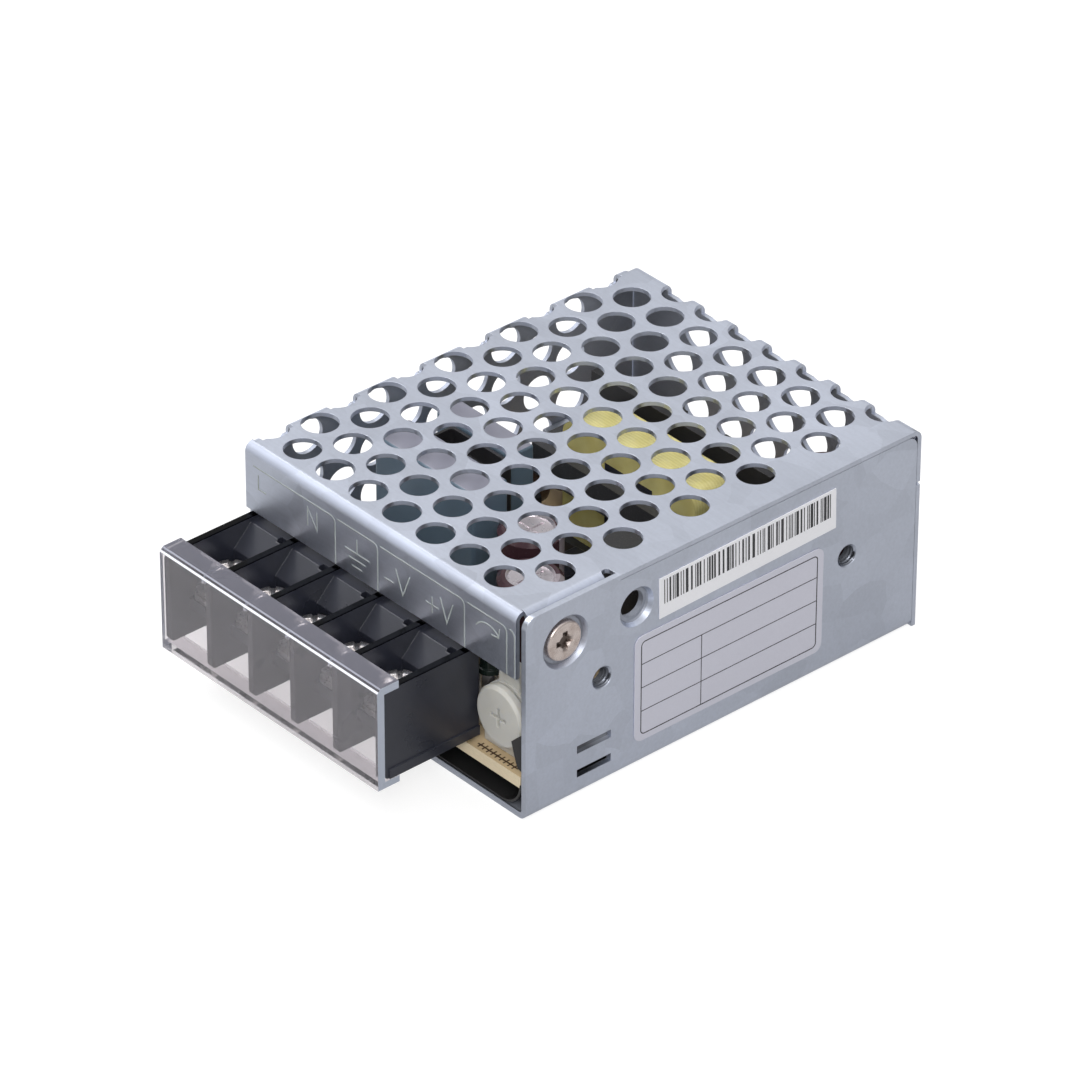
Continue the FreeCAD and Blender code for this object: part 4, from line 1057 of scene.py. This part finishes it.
def add_piece(
    name: str,
    patches: Sequence[Patch],
    finish: Finish,
    body: str = "housing",
    smooth: bool = True,
) -> None:
    """Put patches into one mesh object that rides on a body.

    Args:
        name: Name of the piece.
        patches: Its surfaces.
        finish: Its finish.
        body: Body that it moves with.
        smooth: Shade it smooth where faces turn by less than SMOOTH_ANGLE.
    """
    starts = np.cumsum([0] + [len(p.points) for p in patches[:-1]])
    points = np.concatenate([p.points for p in patches]) * MM
    faces = np.concatenate([p.faces + s for p, s in zip(patches, starts)])
    rows = [list(dict.fromkeys(face)) for face in faces.tolist()]
    mesh = bpy.data.meshes.new(name)
    mesh.from_pydata(points.tolist(), [], rows)
    mesh.validate()
    if smooth:
        mesh.polygons.foreach_set("use_smooth", np.ones(len(mesh.polygons), dtype=bool))
        mesh.set_sharp_from_angle(angle=SMOOTH_ANGLE)
    mesh.materials.append(finish.material())
    piece = link(name, mesh)
    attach(piece, body)
    log.info("%s: %d faces", name, len(mesh.polygons))


def coat(node: str, material: Material) -> None:
    """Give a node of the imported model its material.

    Args:
        node: Name of the node.
        material: Its material.
    """
    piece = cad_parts[node]
    if not piece.material_slots:
        piece.data.materials.append(material)
    for slot in piece.material_slots:
        slot.material = material
    log.info("%s: %s", node, material.name)


def dress(finish: Finish, *nodes: str) -> None:
    """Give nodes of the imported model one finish."""
    for node in nodes:
        coat(node, finish.material())


# Sub-assemblies


@dataclass
class SheetCase:
    """Folded cover and chassis with their fasteners, threads and the marks of the flange."""

    hole_rows: Pair = (-19.5, 19.5)
    hole_height: float = 15.0
    hole_radius: float = 1.25
    thread_start: float = 23.9
    thread_depth: float = 0.16
    thread_pitch: float = 0.5
    thread_turns: float = 3.0
    mark_width: float = 0.17
    mark_low: float = 0.004
    mark_high: float = 0.035
    cell_edges: tuple[float, ...] = (-24.0, -8.45, -0.75, 14.73, 22.15, 23.55)
    cell_gap: float = 0.5
    cell_top: float = 25.5
    cell_radius: float = 0.8
    flange_bottom: float = 19.05

    def build(self) -> None:
        """Dress the sheets and screws and add the threads and marks."""
        dress(Finish.SHEET, "mesh_cover", "chassis")
        dress(Finish.SCREW, "case_screws", "board_screws")
        dress(Finish.LINER, "insulation_sheet")
        self.add_threads()
        self.add_marks()

    def add_threads(self) -> None:
        """Thread ridges inside the two tapped side holes."""
        shape = (self.hole_radius, self.thread_depth, self.thread_pitch, self.thread_turns, True)
        starts = [(self.thread_start, y, self.hole_height) for y in self.hole_rows]
        ridges = [thread(start, "X", *shape) for start in starts]
        add_piece("side_hole_threads", ridges, Finish.SHEET)

    def add_marks(self) -> None:
        """Printed outlines of the flange: cells over the bays and plain terminal signs."""
        bar = (self.mark_width, self.mark_low, self.mark_high)
        patches = [stroke(Side.FRONT.value, np.array(line), *bar) for line in self.cells() + self.signs()]
        add_piece("flange_marks", patches, Finish.PALE_INK, smooth=False)

    def cells(self) -> list[Array]:
        """Cell outlines: each runs level along its top and down its right side in a quarter circle.

        Returns:
            The points of each line.
        """
        turn = np.linspace(math.pi / 2, 0, 6)
        top, r = self.cell_top, self.cell_radius
        lines = []
        for left, right in zip(self.cell_edges, self.cell_edges[1:]):
            bend = np.stack([right - r + r * np.cos(turn), top - r + r * np.sin(turn)], axis=1)
            lines.append(np.vstack([[left + self.cell_gap, top], bend, [right, self.flange_bottom]]))
        return lines

    def signs(self) -> list[Any]:
        """Line and neutral letters, earth sign, minus and plus V and the adjuster's arrow.

        Returns:
            The points of each line.
        """
        turn = np.linspace(math.radians(150), math.radians(35), 9)
        arc = np.stack([18.8 + 2.3 * np.cos(turn), 22.3 + 2.0 * np.sin(turn)], axis=1)
        return [
            [(-22.6, 24.6), (-22.6, 22.6), (-21.2, 22.6)],
            [(-13.5, 22.0), (-13.5, 24.5), (-11.8, 22.0), (-11.8, 24.5)],
            [(-4.5, 24.3), (-4.5, 22.35)],
            [(-6.6, 22.35), (-2.3, 22.35)],
            [(-5.9, 21.4), (-3.0, 21.4)],
            [(-5.4, 20.4), (-3.6, 20.4)],
            [(0.55, 21.6), (2.1, 21.6)],
            [(2.5, 23.8), (3.75, 20.7), (5.0, 23.8)],
            [(7.9, 22.0), (10.1, 22.0)],
            [(9.0, 20.9), (9.0, 23.1)],
            [(10.45, 23.8), (11.6, 20.8), (12.7, 23.8)],
            arc,
            [(20.9, 24.6), (20.7, 23.3), (19.5, 23.2)],
        ]


@dataclass
class TerminalStrip:
    """Barrier block, its tabs, washers and screws, and the clear guard."""

    bays: int = 5
    block_left: float = -24.3
    bay_pitch: float = 7.7
    barrier: float = 0.9
    screw_row: float = -37.8
    head_radius: float = 2.73
    crown_foot: float = 13.35
    crown_edge: float = 14.5
    crown_rise: float = 1.45
    slot_turn: float = -0.72

    def build(self) -> None:
        """Dress the nodes of every bay and crown its screw."""
        dress(Finish.BLOCK, "terminal_block")
        dress(Finish.TINNED, "terminal_tabs")
        dress(Finish.CLEAR, "terminal_cover")
        shape = (self.head_radius, self.crown_foot, self.crown_edge, self.crown_rise, self.slot_turn)
        for bay in range(1, self.bays + 1):
            dress(Finish.TERMINAL, f"terminal_screw_{bay}")
            dress(Finish.TINNED, f"terminal_washer_{bay}")
            x = self.block_left + self.barrier / 2 + self.bay_pitch * (bay - 0.5)
            crown = slotted_crown((x, self.screw_row), *shape)
            add_piece(f"terminal_crown_{bay}", [crown], Finish.CROWN, f"screw_{bay}")


@dataclass
class Labels:
    """The two stickers of the plate: one with plain ruled fields, one with plain bars."""

    print_low: float = 0.141
    print_high: float = 0.152
    rating: tuple[float, float, float, float] = (-14.5, 3.4, 15.5, 18.2)
    margin: Pair = (1.0, 0.9)
    corner: float = 0.6
    outline_width: float = 0.14
    rule_width: float = 0.11
    rows: tuple[float, ...] = (14.2, 10.9, 7.6)
    column: float = -4.0
    bars_start: float = -10.1
    bars_end: float = 16.9
    bars_corner: Pair = (-10.7, 19.35)
    bar_foot: float = 21.2
    bar_crown: float = 24.55
    bar_step: float = 0.135
    bar_steps: tuple[int, ...] = (1, 1, 1, 2, 2, 3)
    most_edges: int = 240
    tilt: float = 1.3
    seed: int = 11

    def build(self) -> None:
        """Dress both stickers and print on them."""
        dress(Finish.RATING, "rating_label")
        dress(Finish.BARCODE, "barcode_label")
        self.add_rules()
        self.add_bars()

    def add_rules(self) -> None:
        """Blank ruled form on the rating sticker."""
        y0, z0, y1, z1 = self.rating
        dy, dz = self.margin
        left, right, foot, top = y0 + dy, y1 - dy, z0 + dz, z1 - dz
        plane, ink = Side.RIGHT.value, (self.print_low, self.print_high)
        outline = rounded_outline(left, foot, right, top, self.corner)
        rules = [[(left, z), (right, z)] for z in self.rows]
        rules.append([(self.column, foot), (self.column, self.rows[0])])
        lines = [stroke(plane, outline, self.outline_width, *ink, True)]
        lines += [stroke(plane, np.array(rule), self.rule_width, *ink) for rule in rules]
        add_piece("rating_rules", lines, Finish.INK, smooth=False)

    def add_bars(self) -> None:
        """Upright bars of uneven width, drawn from a seeded row of numbers."""
        picker = np.random.default_rng(self.seed)
        steps = picker.choice(self.bar_steps, size=self.most_edges) * self.bar_step
        edges = self.bars_start + np.cumsum(steps)
        edges = edges[edges < self.bars_end]
        edges = edges[: len(edges) // 2 * 2]
        lean = math.tan(math.radians(self.tilt))
        y, z = self.bars_corner
        plane = Plane((25.5, y, z), (0.0, 1.0, lean), (0.0, -lean, 1.0), (1.0, 0.0, 0.0))
        ends = (self.bar_foot - z, self.bar_crown - z, self.print_low, self.print_high)
        bars = slabs(plane, edges[0::2] - y, edges[1::2] - y, *ends)
        add_piece("barcode_bars", [bars], Finish.INK, smooth=False)


@dataclass
class BoardParts:
    """Board and the components that show through the perforations."""

    cans: tuple[tuple[str, float, float, float, float], ...] = (
        ("bulk_capacitor", 17.0, 24.1, 6.25, 20.0),
        ("output_capacitor_1", 2.9, -10.7, 4.0, 21.0),
        ("output_capacitor_2", 10.6, -17.5, 4.0, 21.0),
    )
    rail: Triple = (15.5, 22.6, -29.9)
    rail_width: float = 0.22
    rungs: Triple = (16.0, 22.4, 0.75)
    rung_width: float = 0.2
    rung_half: float = 0.5
    indicator: Triple = (13.4, -26.1, 13.1)
    lens_radius: float = 1.45
    lens_height: float = 2.6
    lens_flange: Points = ((0.0, 0.0), (1.7, 0.0), (1.7, 0.7), (1.45, 0.75))
    leg_sides: Pair = (-0.9, 0.5)
    leg_radius: float = 0.24
    leg_sunk: float = 0.4
    leg_foot: float = 5.35
    resistor: Triple = (4.6, -23.6, 8.2)
    resistor_length: float = 7.2
    resistor_end: Points = ((0.0, 0.0), (1.1, 0.05), (1.7, 0.5), (1.7, 1.5), (1.5, 1.9))
    lead_radius: float = 0.3
    lead_bend: float = 0.8
    lead_reach: float = 1.2

    def build(self) -> None:
        """Dress every component and add what the solids leave out."""
        dress(Finish.BOARD, "circuit_board")
        dress(Finish.CREAM, "trimmer_body", "trimmer_rotor")
        dress(Finish.X2, "x2_capacitor")
        dress(Finish.FILM, "film_capacitor")
        dress(Finish.CHOKE, "line_choke")
        dress(Finish.FERRITE, "transformer_core", "output_inductor")
        dress(Finish.TAPE, "transformer_winding")
        dress(Finish.ANODISED, "heatsink")
        dress(Finish.DISC, "y_capacitors")
        dress(Finish.BLACK, "transformer_bobbin", "power_transistor", "rectifier_bridge", "board_fuse")
        dress(Finish.BLACK, "thermistor", "optocoupler", "output_diode")
        for name, x, y, radius, top in self.cans:
            coat(name, CanSleeve(f"sleeve_{name}", (x, y), radius, top).build())
        self.add_board_marks()
        self.add_indicator()
        self.add_resistor()

    def add_board_marks(self) -> None:
        """Printed ladder on the board by the adjuster: a rail along X with short rungs."""
        plane = Side.BOARD.value
        start, end, row = self.rail
        lines = [stroke(plane, np.array([(start, row), (end, row)]), self.rail_width, 0.004, 0.02)]
        for x in np.arange(*self.rungs):
            rung = np.array([(x, row - self.rung_half), (x, row + self.rung_half)])
            lines.append(stroke(plane, rung, self.rung_width, 0.021, 0.03))
        add_piece("board_marks", lines, Finish.BOARD_INK, smooth=False)

    def add_indicator(self) -> None:
        """Small lamp on two long legs between the terminal block and the adjuster."""
        rise = np.linspace(0, math.pi / 2, 9)
        radius = self.lens_radius
        dome = np.stack([radius * np.cos(rise), self.lens_height + radius * np.sin(rise)], axis=1)
        x, y, low = self.indicator
        lens = lathe((x, y, low), "Z", np.vstack([self.lens_flange, dome]))
        add_piece("indicator_lens", [lens], Finish.LENS)
        legs = []
        for side in self.leg_sides:
            path = [(x + side, y + side, height) for height in (self.leg_foot, low + self.leg_sunk)]
            legs.append(tube(np.array(path), self.leg_radius))
        add_piece("indicator_legs", legs, Finish.TINNED)

    def add_resistor(self) -> None:
        """Film resistor that lies along X behind the lamp, with its two leads bent into the board."""
        x, y, z = self.resistor
        near = np.array(self.resistor_end)
        far = near[::-1] * (1.0, -1.0) + (0.0, self.resistor_length)
        barrel = lathe((x, y, z), "X", np.vstack([near, far]))
        add_piece("resistor_body", [barrel], Finish.RESISTOR)
        turn, r = np.linspace(0, math.pi / 2, 7), self.lead_bend
        bend = np.stack([self.lead_reach - r + r * np.sin(turn), 0.0 * turn, r * np.cos(turn) - r], axis=1)
        lead = np.vstack([[(-0.2, 0.0, 0.0)], bend, [(self.lead_reach, 0.0, self.leg_foot - z)]])
        right = np.array((x + self.resistor_length, y, z)) + lead
        left = np.array((x, y, z)) + lead * (-1.0, 1.0, 1.0)
        leads = [tube(path, self.lead_radius) for path in (right, left)]
        add_piece("resistor_leads", leads, Finish.TINNED)


# Stage


@dataclass
class Studio:
    """Floor, white surround, soft lamps and the camera."""

    azimuth: float = 48.613
    elevation: float = 33.249
    roll: float = 0.13
    distance: float = 880.11
    aim: Triple = (-2.176, -4.770, 14.0)
    lens: float = 245.40
    sensor: float = 36.0
    clip_end: float = 50.0
    floor_size: float = 6.0
    floor_gap: float = 0.02
    floor_glow: float = 0.80
    floor_gloss: float = 0.30
    floor_matte: float = 0.28
    sky_span: Pair = (0.30, 0.95)
    sky_low: float = 0.33
    sky_high: float = 1.15
    lamp_aim: Triple = (0.0, 0.0, 0.014)

    def build(self) -> None:
        """Make the camera, the surround, the floor and the lamps."""
        bpy.context.scene.view_settings.view_transform = "Standard"
        self.add_camera()
        self.add_world()
        self.add_floor()
        self.add_lamp("box_left", (-0.60, -0.22, 0.80), 0.60, 5.0)
        self.add_lamp("box_camera", (0.62, -0.62, 0.66), 0.45, 5.4)
        self.add_lamp("box_rear", (-0.35, 0.75, 0.70), 0.80, 0.5)

    def add_camera(self) -> None:
        """Camera that looks at the aim point from the azimuth and elevation."""
        a, e = math.radians(self.azimuth), math.radians(self.elevation)
        away = Vector((math.sin(a) * math.cos(e), -math.cos(a) * math.cos(e), math.sin(e)))
        data = bpy.data.cameras.new("camera")
        data.lens = self.lens
        data.sensor_width = self.sensor
        data.clip_end = self.clip_end
        camera = link("camera", data)
        turn = away.to_track_quat("Z", "Y").to_matrix() @ Matrix.Rotation(math.radians(self.roll), 3, "Z")
        place = Vector(self.aim) * MM + away * self.distance * MM
        camera.matrix_world = Matrix.Translation(place) @ turn.to_4x4()
        bpy.context.scene.camera = camera

    def add_world(self) -> None:
        """White surround for the camera and clear parts; for light it is darker near the horizon."""
        g = Graph("surround", world=True)
        sky = g.span(g.axes()[2], *self.sky_span, self.sky_low, self.sky_high)
        level = g.span(g.seen(), 0.0, 1.0, sky, 1.0)
        back = g.node("ShaderNodeBackground", {"Strength": level, "Color": WHITE})
        bpy.context.scene.world = g.close(back)

    def add_floor(self) -> None:
        """Pale floor that shows white and keeps a light shadow, a hair below the case's underside."""
        half = self.floor_size / 2
        mesh = bpy.data.meshes.new("floor")
        corners = [(-half, -half, 0), (half, -half, 0), (half, half, 0), (-half, half, 0)]
        mesh.from_pydata(corners, [], [(0, 1, 2, 3)])
        floor = link("floor", mesh)
        floor.location.z = -self.floor_gap * MM
        g = Graph("floor_white")
        shiny = g.node("ShaderNodeLightPath").outputs["Is Glossy Ray"]
        seen = g.times(g.seen(), self.floor_glow)
        glow = g.most(seen, g.times(shiny, self.floor_gloss))
        light = g.node("ShaderNodeEmission", {"Color": WHITE, "Strength": glow})
        matte = g.node("ShaderNodeBsdfDiffuse", {"Color": (self.floor_matte,) * 3})
        both = g.node("ShaderNodeAddShader", {0: light.outputs[0], 1: matte.outputs[0]})
        mesh.materials.append(g.close(both))

    def add_lamp(self, name: str, place: Triple, size: float, power: float) -> None:
        """One soft square lamp that faces the case.

        Args:
            name: Name of the lamp.
            place: Where it hangs, in metres.
            size: Its side in metres.
            power: Its power in watts.
        """
        data = bpy.data.lights.new(name, "AREA")
        data.shape = "SQUARE"
        data.size = size
        data.energy = power
        lamp = link(name, data)
        away = Vector(place) - Vector(self.lamp_aim)
        turn = away.to_track_quat("Z", "Y").to_matrix().to_4x4()
        lamp.matrix_world = Matrix.Translation(Vector(place)) @ turn


def main() -> None:
    """Build the sub-assemblies in order and report each piece."""
    logging.basicConfig(level=logging.INFO, format="%(message)s")
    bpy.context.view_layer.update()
    for assembly in (SheetCase(), TerminalStrip(), Labels(), BoardParts(), Studio()):
        log.info("building %s", type(assembly).__name__)
        assembly.build()


if __name__ == "__main__":
    main()
